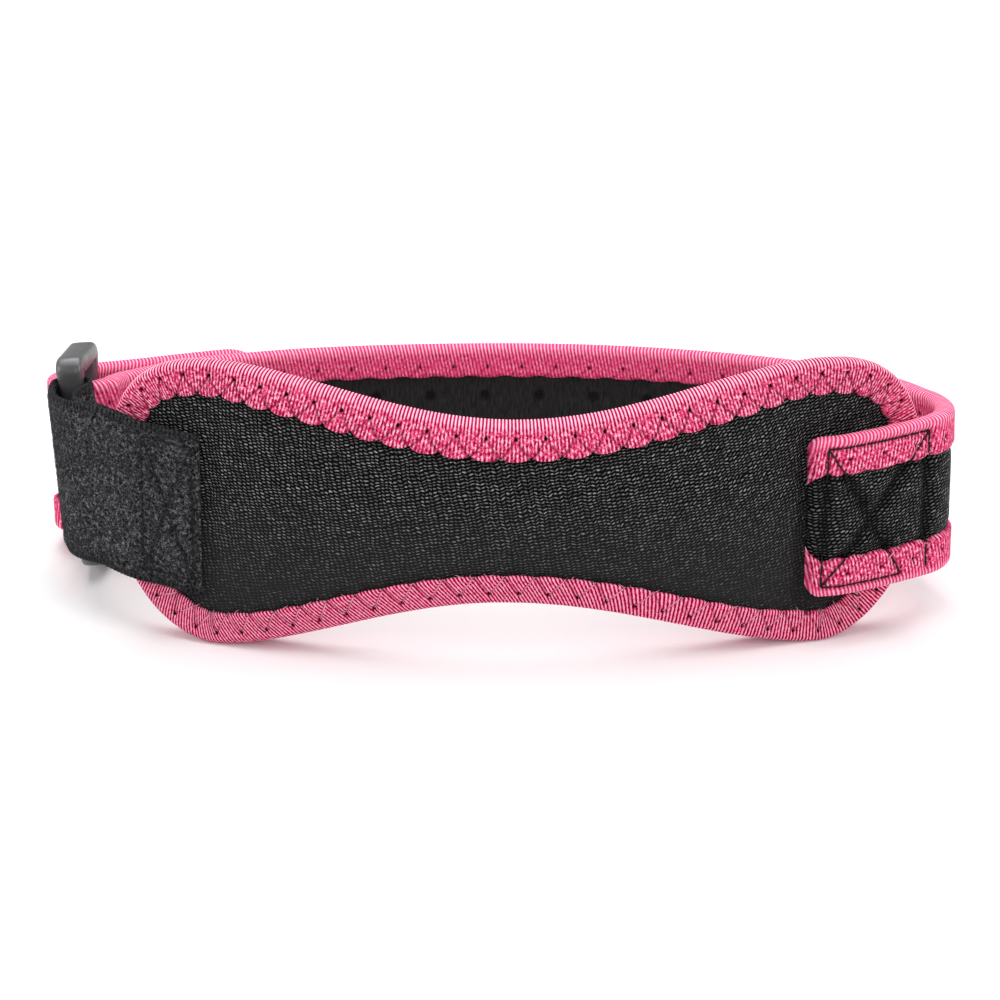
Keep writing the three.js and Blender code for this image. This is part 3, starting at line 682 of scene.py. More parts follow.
def pad_tape():
    """The folded tape: up its front face, over the roll, down its back face and back up inside."""
    edge, inward = pad_edge(tape_run)
    width = pad_tape_width(tape_run)[:, None]
    share = np.linspace(1.0, 0.0, FACE_COLUMNS)
    back_share = np.linspace(0.0, 1.0, BACK_COLUMNS)
    angle = np.linspace(np.pi / 2.0, -np.pi / 2.0, ROLL_COLUMNS + 2)[1:-1]
    fold_depth = TAPE_FOLD_INSIDE["depth"]
    inside = np.array([TAPE_BACK - TAPE_INNER_INSET, ROLL_DEPTH, fold_depth, fold_depth, ROLL_DEPTH])
    count = len(tape_run)
    face_depth = ROLL_DEPTH + (width - ROLL_DEPTH) * share
    roll_depth = ROLL_DEPTH * (1.0 - np.cos(angle) ** (2.0 / ROLL_POWER))
    roll_depth = np.broadcast_to(roll_depth, (count, ROLL_COLUMNS))
    back_depth = np.broadcast_to(ROLL_DEPTH + (TAPE_BACK - ROLL_DEPTH) * back_share, (count, BACK_COLUMNS))
    inner_depth = np.hstack([np.broadcast_to(inside, (count, len(inside))), width - TAPE_INNER_INSET])
    depth = np.hstack([face_depth, roll_depth, back_depth, inner_depth])
    p, z = np.moveaxis(edge[:, None, :] + depth[..., None] * inward[:, None, :], -1, 0)

    faces = slice(0, FACE_COLUMNS)
    rolls = slice(FACE_COLUMNS, FACE_COLUMNS + ROLL_COLUMNS)
    backs = slice(rolls.stop, rolls.stop + BACK_COLUMNS)
    inners = slice(backs.stop, None)
    lift = pad_tape_lift(face_depth, width)
    lift = lift + (TAPE_EDGE_LIFT - lift) * smooth((share - 1.0) / TAPE_EDGE_TURN["front"] + 1.0)
    back_lift = pad_tape_lift(back_depth, TAPE_BACK)
    back_turn = smooth((back_share - 1.0) / TAPE_EDGE_TURN["back"] + 1.0)
    back_lift = back_lift + (TAPE_EDGE_LIFT - back_lift) * back_turn
    out = np.zeros_like(p)
    out[:, faces] = pad_face(p[:, faces], z[:, faces], 1) + lift
    out[:, backs] = pad_face(p[:, backs], z[:, backs], -1) - back_lift
    front_top = out[:, FACE_COLUMNS - 1 : FACE_COLUMNS]
    back_top = out[:, backs.start : backs.start + 1]
    rise = np.abs(np.sin(angle)) ** (2.0 / ROLL_POWER)
    out[:, rolls] = np.where(angle > 0.0, front_top * rise, back_top * rise)
    inner_side = np.array([-1, -1, -1, 1, 1, 1])
    half_lift = [TAPE_EDGE_LIFT - TAPE_INNER_DROP, TAPE_INNER_LIFT, TAPE_FOLD_INSIDE["lift"]]
    inner_lift = np.array(half_lift + half_lift[::-1])
    out[:, inners] = pad_face(p[:, inners], z[:, inners], inner_side) + inner_side * inner_lift

    # Ribs run over the roll, lean along the lower edge, and break up into flecks on the upper face
    upper = upper_share(inward)[:, None]
    leaning = (1.0 - upper) * smooth((RIB_LEANS_TO["p"] - edge[:, :1]) / RIB_LEANS_TO["over"])
    run = np.broadcast_to(tape_run[:, None], p.shape)
    rib_turns = (run - RIB_LEAN * leaning * depth) * rib_count / edge_length
    rib = 0.5 + 0.5 * np.cos(2.0 * np.pi * rib_turns)
    crease, hole = zigzag_marks(run, depth, width, HOLE_DEPTH_IN, hole_pitch)
    crease[:, inners] = 0.0
    hole[:, inners] = 0.0
    off_roll = smooth((depth - ROLL_SPAN[0]) / (ROLL_SPAN[1] - ROLL_SPAN[0]))
    rib_height = RIB_HEIGHT["roll"] + (by_edge(RIB_HEIGHT, upper) - RIB_HEIGHT["roll"]) * off_roll
    puff = by_edge(PUFF, upper) * smooth((depth - HOLE_DEPTH_IN) / PUFF_REACH) * scallop(run, hole_pitch)
    relief = rib_height * (rib - 0.5) + puff - CREASE_SUNK * crease - HOLE_SUNK * hole
    relief[:, inners] = 0.0
    relief[:, 0] = np.minimum(relief[:, 0], 0.0)
    grid = swell(off_loop(p + PAD_SHIFT, out, z), relief, closed_rows=True)
    speckle = upper * off_roll + (1.0 - upper) * LOWER_SPECKLE
    shade = crease * by_edge(CREASE_SHADE, upper)
    return grid, vectors(run, depth, speckle), vectors(rib_turns, shade, hole)


tape_grid, tape_lay, tape_relief = pad_tape()
pad_binding = make_piece(
    "pad_binding_tape",
    tape_grid,
    grid_faces(*tape_grid.shape[:2], closed_rows=True),
    lay=tape_lay,
    relief=tape_relief,
)

PINK_FLECK_AND_VALLEY_SHADE = (0.27, 0.0015, 0.022, 1.0)
PINK_BODY = (0.76, 0.056, 0.18, 1.0)
PINK_FLECK_AND_CREST_HIGHLIGHT = (1.0, 0.52, 0.68, 1.0)
PINK_LOWER_BODY = (0.98, 0.055, 0.2, 1.0)
PINK_LOWER_FLECK_AND_CREST_HIGHLIGHT = (1.0, 0.44, 0.62, 1.0)
LOWER_CRISPER = 0.45
LOWER_REACH = 0.15
PINK_SHADE = (0.25, 0.008, 0.04, 1.0)
NEEDLE_HOLE_SHADE = (0.02, 0.002, 0.006, 1.0)
NEEDLE_HOLE_SHADE_SPAN = (0.3, 0.7)
PINK_CREASED = 0.85
PINK_BUMP = 0.7
PINK_PLAIN = {"Specular IOR Level": 0.03}
PINK_ROUGHNESS = {"valley": 0.75, "crest": 0.5}
GRAIN_STRETCH = (1.9, 1.1, 0.0)
GRAIN_NOISE = {"scale": 1.0, "detail": 2.0, "Roughness": 0.65}
BODY_TONES = (0.0, 0.48)
CREST_TONES = (0.55, 1.08)

# How ribs, flecks and tone follow the speckle: their values where there is little of it and where it is full
RIBS_BY_SPECKLE = (1.0, 0.5)
FLECKS_BY_SPECKLE = (0.9, 2.6)
TONE_AND_ROLL_SHEEN_BY_SPECKLE = {"span": (0.0, 0.3), "tone": (0.64, 0.48)}
CRISP_SPAN = (0.62, 1.0)


def pink_tape(name, contrast, depth):
    """Ribbed pink elastic: crests paled as painted highlight and valleys darkened as painted shade, a painted
    sheen on the roll, flecks where the ribs break up, painted shade in creases and needle holes.
    """
    material, shader, nodes = new_material(name, PINK_PLAIN)
    lay = nodes.field("lay")
    _, _, speckle = nodes.parts(lay)
    rib_turns, crease, hole = nodes.parts(nodes.field("relief"))
    rib = nodes.between(nodes.math("COSINE", nodes.math("MULTIPLY", rib_turns, 2.0 * math.pi)), -1.0, 1.0)
    grain = nodes.noise(nodes.scaled(lay, GRAIN_STRETCH), **GRAIN_NOISE)
    rib_share = nodes.between(speckle, 0.0, 1.0, *RIBS_BY_SPECKLE)
    ribbed = nodes.math("MULTIPLY", nodes.math("SUBTRACT", rib, 0.5), rib_share)
    fleck_share = nodes.between(speckle, 0.0, 1.0, *FLECKS_BY_SPECKLE)
    flecks = nodes.math("MULTIPLY", nodes.math("SUBTRACT", grain, 0.5), fleck_share)
    # The tone is raised where there is little speckle, on the tape's roll: a painted sheen
    level = nodes.between(speckle, *TONE_AND_ROLL_SHEEN_BY_SPECKLE["span"], *TONE_AND_ROLL_SHEEN_BY_SPECKLE["tone"])

    # The pad's lower edge is told by its own speckle, and has a brighter and crisper tape
    off_lower = nodes.math("ABSOLUTE", nodes.math("SUBTRACT", speckle, LOWER_SPECKLE))
    lower = nodes.between(off_lower, 0.0, LOWER_REACH, 1.0, 0.0)
    crisp = nodes.math("MULTIPLY_ADD", lower, LOWER_CRISPER, nodes.between(speckle, *CRISP_SPAN, *contrast))
    tone = nodes.math("MULTIPLY_ADD", nodes.math("ADD", ribbed, flecks), crisp, level)
    body = nodes.mix(lower, PINK_BODY, PINK_LOWER_BODY)
    crest = nodes.mix(lower, PINK_FLECK_AND_CREST_HIGHLIGHT, PINK_LOWER_FLECK_AND_CREST_HIGHLIGHT)
    # Painted light on the ribs: valleys darkened as painted shade and crests paled as painted highlight, on
    # the same ramp as the random flecks
    colour = nodes.mix(nodes.between(tone, *BODY_TONES), PINK_FLECK_AND_VALLEY_SHADE, body)
    colour = nodes.mix(nodes.between(tone, *CREST_TONES), colour, crest)
    colour = nodes.mix(nodes.math("MULTIPLY", crease, PINK_CREASED), colour, PINK_SHADE)
    nodes.feed(shader, {
        # Painted shade in the needle holes' dents
        "Base Color": nodes.mix(nodes.between(hole, *NEEDLE_HOLE_SHADE_SPAN), colour, NEEDLE_HOLE_SHADE),
        "Roughness": nodes.between(tone, 0.0, 1.0, *PINK_ROUGHNESS.values()),
        "Normal": nodes.bump(tone, PINK_BUMP, depth),
    })
    return material


pad_binding.data.materials.append(pink_tape("pink_ribbed_tape", contrast=(1.4, 1.4), depth=0.2))
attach(pad_binding, "root")
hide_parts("pad_binding")

# Zigzag seam of the pad binding
# One pink sewing thread on the front and one on the back, from each needle hole out over the tape's edge
# into the pad and back to the next hole. It lies in the crease that it draws.

THREAD_RADIUS = 0.16
THREAD_POINTS = 7
THREAD_SIDES = 6
THREAD_ENDS = 0.35
THREAD_BED = {"drawn": 0.3, "on_top": 0.02, "upper": 0.5, "at_hole": 0.8, "at_notch": 0.5}
THREAD_DIVE = {"hole": 4, "notch": 8}
THREAD_PLAIN = {"Roughness": 0.55, "Specular IOR Level": 0.12, "Sheen Weight": 0.03, "Sheen Roughness": 0.45}
THREAD_PLY = {"Scale": 3.0, "Distortion": 0.6}
THREAD_BUMP = {"strength": 0.5, "distance": 0.1}
NEARLY_UPRIGHT = 0.9
PINK_THREAD = (0.95, 0.5, 0.64, 1.0)
PINK_THREAD_DEEP = (0.7, 0.14, 0.28, 1.0)


def strands(name, material, paths, radius, sides, ends=THREAD_ENDS):
    """A piece of joined closed tubes: a row of level points for each strand, thinner at both its ends."""
    count, points = paths.shape[:2]
    way = np.gradient(paths, axis=1)
    way /= np.linalg.norm(way, axis=-1, keepdims=True)
    upright = np.abs(way[..., 2:]) > NEARLY_UPRIGHT
    first = np.cross(way, np.where(upright, [1.0, 0.0, 0.0], [0.0, 0.0, 1.0]))
    first /= np.linalg.norm(first, axis=-1, keepdims=True)
    second = np.cross(way, first)
    angle = 2.0 * np.pi * np.arange(sides) / sides
    spoke = first[:, :, None] * np.cos(angle)[:, None] + second[:, :, None] * np.sin(angle)[:, None]
    thin = np.ones(points)
    thin[[0, -1]] = ends
    tube = paths[:, :, None] + radius * thin[:, None, None] * spoke
    ring = np.array(grid_faces(points, sides))[:, ::-1]
    offset = np.arange(count)[:, None, None] * points * sides
    faces = (ring[None] + offset).reshape(-1, 4).tolist()
    first_ring = np.arange(sides)[::-1]
    last_ring = (points - 1) * sides + np.arange(sides)
    for cap in (first_ring, last_ring):
        faces += (cap[None] + offset[:, :, 0]).tolist()
    along = np.broadcast_to(np.linspace(0.0, 1.0, points)[None, :, None], tube.shape[:3])
    which = np.broadcast_to(np.arange(count)[:, None, None], tube.shape[:3])
    piece = make_piece(name, tube, faces, lay=vectors(along, which, 0.0))
    piece.data.materials.append(material)
    return piece


def zigzag_threads(side):
    """Rows of points from each hole to the notch after it, drawn in, and back to the next hole, on top."""
    step = np.linspace(0.0, 1.0, THREAD_POINTS)
    hole = np.arange(hole_count)[:, None]
    legs = []
    way_out = ("drawn", 0.5 * step, step)
    way_back = ("on_top", 0.5 + 0.5 * step, 1.0 - step)
    for bed, run_share, reach_share in (way_out, way_back):
        run = (hole + run_share) * hole_pitch
        notch = pad_tape_width((hole + 0.5) * hole_pitch) if side > 0 else TAPE_BACK
        depth = HOLE_DEPTH_IN + (notch - HOLE_DEPTH_IN) * reach_share
        upper = upper_share(pad_edge(run)[1])
        sunk = THREAD_BED[bed] + THREAD_BED["upper"] * upper
        sunk = sunk + THREAD_BED["at_hole"] * (1.0 - reach_share) ** THREAD_DIVE["hole"]
        sunk = sunk + THREAD_BED["at_notch"] * reach_share ** THREAD_DIVE["notch"]
        legs.append(on_pad_face(run, depth, pad_tape_lift(depth, notch) - sunk, side))
    return np.concatenate(legs)


def thread_finish(name, light, dark):
    """Twisted sewing thread: fine slanting plies and a slightly different tone for each stitch."""
    material, shader, nodes = new_material(name, {**THREAD_PLAIN, "Sheen Tint": light})
    lay = nodes.field("lay")
    ply = nodes.add("ShaderNodeTexWave", {"Vector": lay, **THREAD_PLY}, output="Fac")
    _, stitch, _ = nodes.parts(lay)
    tone = nodes.add("ShaderNodeTexWhiteNoise", {"W": stitch}, noise_dimensions="1D")
    share = nodes.math("ADD", nodes.math("MULTIPLY", ply, 0.5), nodes.math("MULTIPLY", tone, 0.5))
    colour = nodes.mix(share, dark, light)
    nodes.feed(shader, {"Base Color": colour, "Normal": nodes.bump(ply, **THREAD_BUMP)})
    return material


pink_thread = thread_finish("pink_thread", PINK_THREAD, PINK_THREAD_DEEP)
pad_zigzag = np.concatenate([zigzag_threads(1), zigzag_threads(-1)])
pad_seam = strands("pad_binding_seam", pink_thread, pad_zigzag, THREAD_RADIUS, THREAD_SIDES)
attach(pad_seam, "root")

# Loose fibres of the pad binding
# Fine pink ends of the tape's own yarn that have worked out of its lower edge and lie over the knit.

FIBRE_COUNT = 45
FIBRE_PLACES = 400
FIBRE_POINTS = 5
FIBRE_RADIUS = 0.07
FIBRE_SIDES = 4
FIBRE_EDGE = 0.35
FIBRE_REACH = (0.4, 1.4)
FIBRE_ASIDE = (-1.6, 1.6)
FIBRE_LIFT = (0.1, 0.5)
FIBRE_ROOT = {"inside": 0.5, "lift": 0.35}
FIBRE_BOW = {"from": 0.15, "turn": 0.7}
CHANCE_SEED = 11

chance = np.random.default_rng(CHANCE_SEED)


def edge_fibres():
    """One row of points for each fibre: it leaves the tape's lower edge, bows up and drifts to a side."""
    run = chance.uniform(0.0, edge_length, FIBRE_PLACES)
    run = run[upper_share(pad_edge(run)[1]) < FIBRE_EDGE][:FIBRE_COUNT, None]
    reach = chance.uniform(*FIBRE_REACH, run.shape)
    aside = chance.uniform(*FIBRE_ASIDE, run.shape)
    lift = chance.uniform(*FIBRE_LIFT, run.shape)
    step = np.linspace(0.0, 1.0, FIBRE_POINTS)
    depth = pad_tape_width(run) - FIBRE_ROOT["inside"] + reach * step
    bow = lift * np.sin(np.pi * (FIBRE_BOW["from"] + FIBRE_BOW["turn"] * step))
    return on_pad_face(run + aside * step**2, depth, FIBRE_ROOT["lift"] + bow, 1)


pad_fibres = strands("pad_binding_fibres", pink_thread, edge_fibres(), FIBRE_RADIUS, FIBRE_SIDES)
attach(pad_fibres, "root")

# Back strap
# A thin foam strap faced with the same black knit. It is sewn on the pad's right end, runs round behind the
# knee, turns round the ring's rear bar and closes back over itself. Its inner face has two rows of vents.

GAP = 0.35
STRAP_HEIGHT = 36.0
STRAP_HALF = 1.1
STRAP_CROWN = 0.6
STRAP_CROWN_TO = 9.6
STRAP_START = 66.2
STRAP_START_DROP = 3.7
STRAP_LEVEL_AFTER = 40.0
STRAP_LEVELS_TO_RING = 60.0
STRAP_RING_MID = 31.9
STRAP_END_ROUND = 2.4
STRAP_END_INSET = 0.6
MID_HEIGHT = 33.0
TAB_LENGTH = 48.0
TAB_CLOSES_OVER = 12.0
TAB_ROUND = 11.0
TAB_CORNER_CUT = 6.0
TAB_RIGHTS = 0.8
TAB_LOOSE = 1.2
TAB_LOOSE_OVER = 20.0
BAR_RADIUS = 2.2
BAR_CLEARANCE = 0.8
EDGE_TAPE = 0.8
STRAP_STEP = 0.42
STRAP_PATH_POINTS = {"main": 1200, "turn": 120, "tab": 240}
STRAP_OUTER_COLUMNS = 34
STRAP_VENT_COLUMNS = 30
STRAP_EDGE_COLUMNS = 6
STRAP_EDGE_FROM = 8.6
STRAP_EDGE_THIN = {"share": 0.55, "power": 24}
STRAP_CROWN_FALL = 2.5
STRAP_RIPPLES = {"height": 0.07, "run": 8.0, "up": 5.0, "cross_up": 6.5, "cross_run": 13.0}
SEAM_SUNK = 1.2
SEAM_REACH = 1.5
VENT_RADIUS = 1.25
VENT_SOFT = 0.9
VENT_DEPTH = 0.9
VENT_PITCH = 12.8
VENT_ROW = 5.8
VENT_FROM = 111.7
VENT_MARGIN = 1.8
VENT_CLEAR_OF_RING = 34.0

strap_wrap = 2.0 * (STRAP_HALF + GAP + EDGE_TAPE)
pad_end_out = PAD_EDGE_HALF + TAPE_LIFT
rear_bar = loop_length - RING_FRONT_BAR - BAR_SPACING
strap_turn = BAR_RADIUS + BAR_CLEARANCE + strap_wrap / 2.0
tab_out = strap_wrap + GAP
STRAP_OFFSETS = (
    {"along": STRAP_START, "out": PAD_EDGE_HALF + GAP + strap_wrap / 2.0},
    {"along": 73.0, "out": pad_end_out + GAP + strap_wrap / 2.0},
    {"along": 92.0, "out": pad_end_out + GAP + strap_wrap / 2.0},
    {"along": 110.0, "out": 0.0},
    {"along": rear_bar - 30.0, "out": 0.0},
    {"along": rear_bar - 2.0, "out": -strap_turn},
)


def from_table(table, along):
    """Offsets read from a table of rows, by smooth steps from one row to the next."""
    out = np.full(np.shape(along), table[0]["out"])
    for low, high in zip(table, table[1:]):
        share = smooth((along - low["along"]) / (high["along"] - low["along"]))
        out = out + (high["out"] - low["out"]) * share
    return out


def band(along, out, step, lean_share=1.0, **levels):
    """A band's stations at even steps: run, place, outward side and lean in plan, and its levels."""
    x, y, out_x, out_y, lean = on_loop(along)
    lean = lean * lean_share
    columns = np.stack([x + out * out_x, y + out * out_y, lean * out_x, lean * out_y, *levels.values()])
    run = np.concatenate([[0.0], np.cumsum(np.linalg.norm(np.diff(columns[:2], axis=1), axis=0))])
    even = np.linspace(0.0, run[-1], round(run[-1] / step) + 1)
    columns = np.stack([np.interp(even, run, column) for column in columns])
    way = np.gradient(columns[:2], axis=1)
    way /= np.linalg.norm(way, axis=0)
    return {
        "run": even,
        "plan": columns[:2].T,
        "side": np.stack([way[1], -way[0]], -1),
        "lean": columns[2:4].T,
        **dict(zip(levels, columns[4:])),
    }


def on_band(stations, out, z):
    """Points off a band's stations, out to its side and at a height; each station has a row of them."""
    plan = stations["plan"][:, None] + out[..., None] * stations["side"][:, None]
    plan = plan + stations["lean"][:, None] * (z - LEAN_PIVOT)[..., None]
    return np.concatenate([plan, z[..., None]], -1)


def along_band(stations, run, out, up):
    """Points on a band by run along it, out from its middle and up from its middle line."""
    run, out, up = np.broadcast_arrays(run, out, up)
    picked = {}
    for name in ("plan", "side", "lean", "mid"):
        columns = np.reshape(stations[name], (len(stations["run"]), -1)).T
        picked[name] = np.stack([np.interp(run.ravel(), stations["run"], column) for column in columns], -1)
    points = on_band(picked, out.reshape(-1, 1), picked["mid"] + up.reshape(-1, 1))
    return points.reshape(run.shape + (3,))


def strap_mid(along):
    """Height of the strap's middle line: low at its sewn end, and drawn to the ring's level at the other."""
    drop = STRAP_START_DROP * np.clip(1.0 - (along - STRAP_START) / STRAP_LEVEL_AFTER, 0.0, 1.0)
    level = smooth(1.0 - (rear_bar - along) / STRAP_LEVELS_TO_RING)
    return (MID_HEIGHT - drop) * (1.0 - level) + STRAP_RING_MID * level


def end_round(run):
    """0 at the strap's sewn end, rising as a quarter round to 1."""
    return np.sqrt(1.0 - (1.0 - np.clip(run / STRAP_END_ROUND, 0.0, 1.0)) ** 2)


def strap_band(step):
    """Stations of the strap from its sewn end to the ring, round its rear bar and back along the tab."""
    main = np.linspace(STRAP_START, rear_bar, STRAP_PATH_POINTS["main"])
    turn = np.linspace(0.0, np.pi, STRAP_PATH_POINTS["turn"])[1:-1]
    back = np.linspace(0.0, TAB_LENGTH, STRAP_PATH_POINTS["tab"])
    turned = smooth(2.0 * turn / np.pi - 1.0)
    round_bar = TAB_LOOSE * turned - strap_turn * np.cos(turn)
    tab = strap_turn + (tab_out - strap_turn) * smooth(back / TAB_CLOSES_OVER)
    tab = tab + TAB_LOOSE * (1.0 - smooth(back / TAB_LOOSE_OVER))
    along = np.concatenate([main, rear_bar + strap_turn * np.sin(turn), rear_bar - back])
    out = np.concatenate([from_table(STRAP_OFFSETS, main), round_bar, tab])
    mid = np.concatenate([strap_mid(main), np.full(turn.shape, STRAP_RING_MID), strap_mid(rear_bar - back)])
    cut = TAB_CORNER_CUT * np.clip((back - TAB_LENGTH + TAB_ROUND) / TAB_ROUND, 0.0, 1.0) ** 2
    corner = STRAP_END_ROUND * (1.0 - end_round(main - STRAP_START))
    half = STRAP_HEIGHT / 2.0 - np.concatenate([corner, np.zeros(len(turn)), cut])
    upright = np.concatenate([np.zeros(len(main)), turned, np.ones(len(back))])
    lean_share = 1.0 - TAB_RIGHTS * upright
    return band(along, out, step, lean_share=lean_share, mid=mid, half=half)


# The strap's sewn end: a stitched box with a cross in it, by run from the strap's end and height off its
# middle. The box's first line stands a little askew.
BOX_FROM = 4.0
BOX_TO = 27.5
BOX_HALF = 15.6
BOX_ASKEW = 1.2
CROSS_TO = 21.0
BOX_CORNERS = {
    "low_end": (BOX_FROM - BOX_ASKEW, -BOX_HALF),
    "high_end": (BOX_FROM, BOX_HALF),
    "high_far": (BOX_TO, BOX_HALF),
    "low_far": (BOX_TO, -BOX_HALF),
    "cross_low": (CROSS_TO, -BOX_HALF),
}
BOX_LINES = (
    ("low_end", "high_end"),
    ("high_end", "high_far"),
    ("high_far", "low_far"),
    ("cross_low", "low_end"),
    ("low_end", "high_far"),
    ("high_end", "cross_low"),
)


def off_line(run, up, start, end):
    """Distance of places from a straight seam line."""
    start, end = np.array(start), np.array(end)
    way = end - start
    share = np.clip(((run - start[0]) * way[0] + (up - start[1]) * way[1]) / (way @ way), 0.0, 1.0)
    return np.hypot(run - start[0] - share * way[0], up - start[1] - share * way[1])


def seam_valley(run, up, corners, lines, width):
    """How deep a place lies in the valley that a seam draws, from 0 to 1."""
    nearest = np.min([off_line(run, up, corners[a], corners[b]) for a, b in lines], axis=0)
    return np.exp(-((nearest / width) ** 2))


def capped(rows, columns):
    """Faces of a loft with both its ends closed."""
    first = list(range(columns))
    last = list(range((rows - 1) * columns, rows * columns))
    return grid_faces(rows, columns) + [first, last[::-1]]


def back_strap_piece():
    """The strap's knitted body with its crown, seam valleys and vents, and the strap's length."""
    stations = strap_band(STRAP_STEP)
    vent_rows = np.linspace(-VENT_ROW - VENT_MARGIN, VENT_ROW + VENT_MARGIN, STRAP_VENT_COLUMNS)
    reach = 1.0 - (EDGE_TAPE + GAP) / (STRAP_HEIGHT / 2.0)
    edges = np.linspace(STRAP_EDGE_FROM, reach * STRAP_HEIGHT / 2.0, STRAP_EDGE_COLUMNS)
    inner = np.concatenate([-edges[::-1], vent_rows, edges])[::-1]
    outer = np.linspace(-1.0, 1.0, STRAP_OUTER_COLUMNS) * edges[-1]
    level = np.concatenate([outer, inner]) / (STRAP_HEIGHT / 2.0)
    outward = np.concatenate([np.ones(len(outer)), -np.ones(len(inner))])
    up = level[None, :] * stations["half"][:, None]
    thin = STRAP_EDGE_THIN["share"] * np.abs(level[None, :] / reach) ** STRAP_EDGE_THIN["power"]
    thick = STRAP_HALF * (1.0 - thin)
    run = np.broadcast_to(stations["run"][:, None], up.shape)

    start_along = run + STRAP_START
    crowned = smooth((STRAP_CROWN_TO - np.abs(up)) / STRAP_CROWN_FALL)
    relief = ripples(run, up, STRAP_RIPPLES) + np.where(outward > 0.0, STRAP_CROWN, 0.0) * crowned
    valley = seam_valley(run, up, BOX_CORNERS, BOX_LINES, SEAM_REACH)
    valley = np.where(outward > 0.0, valley, 0.0)
    relief = relief - SEAM_SUNK * valley
    row = np.sign(up) * VENT_ROW
    phase = np.where(up > 0.0, 0.0, 0.5)
    nearest = np.round((start_along - VENT_FROM) / VENT_PITCH - phase) + phase
    centre = VENT_FROM + nearest * VENT_PITCH
    open_here = (outward < 0.0) & (centre >= VENT_FROM) & (centre < rear_bar - VENT_CLEAR_OF_RING)
    from_vent = np.hypot(start_along - centre, up - row)
    vent = np.where(open_here, smooth(0.5 + (VENT_RADIUS - from_vent) / VENT_SOFT), 0.0)
    end = end_round(run - STRAP_END_INSET)
    out = (outward * thick + strap_wrap / 2.0) * end - strap_wrap / 2.0
    grid = on_band(stations, out, stations["mid"][:, None] + up)
    grid = swell(grid, (relief - VENT_DEPTH * vent) * end)
    piece = make_piece(
        "back_strap_band",
        grid,
        capped(*grid.shape[:2]),
        lay=vectors(run, up, outward),
        relief=vectors(valley, vent, 0.0),
    )
    return piece, stations["run"][-1]


STRAP_KNIT = {
    "wale": 0.98,
    "course": 0.76,
    "bias": 0.0,
    "painted_lean_span": (-30.0, 10.0),
    "painted_glint_share": 0.7,
    "depth": 0.28,
}
back_strap, strap_length = back_strap_piece()
back_strap.data.materials.append(knit("strap_knit", **STRAP_KNIT))
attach(back_strap, "root")
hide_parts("back_strap")

# Strap bindings
# The same pink tape in a lighter weight, folded over the strap's upper and lower edge from end to end and
# zigzag sewn. Its ribs are lower and its face is smoother than round the pad.

STRAP_TAPE_WIDTH = 8.6
STRAP_INNER_SHORT = 1.1
STRAP_EDGE_INSET = 0.4
STRAP_EDGE_TURN = 0.07
STRAP_EDGE_CLEARANCE = 0.1
STRAP_FOLD_DEPTH = 1.1
STRAP_FOLD_CLEARANCE = 0.05
STRAP_FOLD_COLUMNS = 4
STRAP_ROLL = 1.5
STRAP_ROLL_POWER = 0.85
STRAP_ROLL_FADE = 1.6
STRAP_RIB_PITCH = 0.82
STRAP_RIB_STEPS = 4
STRAP_RIB_HEIGHT = 0.07
STRAP_RIB_FLATTER = 0.45
STRAP_RIB_LEAN = 0.2
STRAP_STITCH = 8.0
STRAP_STITCH_FROM = {"run": 3.0, "over": 2.0}
STRAP_HOLE_IN = 4.9
STRAP_SCALLOP = 0.3
STRAP_PUFF = {"height": 0.12, "reach": 2.0}
STRAP_SUNK = {"crease": 0.18, "hole": 0.5, "seam": 0.65}
STRAP_SHADE = {"crease": 0.6, "seam": 0.5}
STRAP_SEAM_REACH = 0.7
STRAP_FACE_COLUMNS = 11
STRAP_ROLL_COLUMNS = 7
STRAP_SPECKLE = {"end": 1.0, "rest": 0.6, "from": 26.0, "over": 14.0}

strap_tape_outer = STRAP_HALF + GAP + EDGE_TAPE


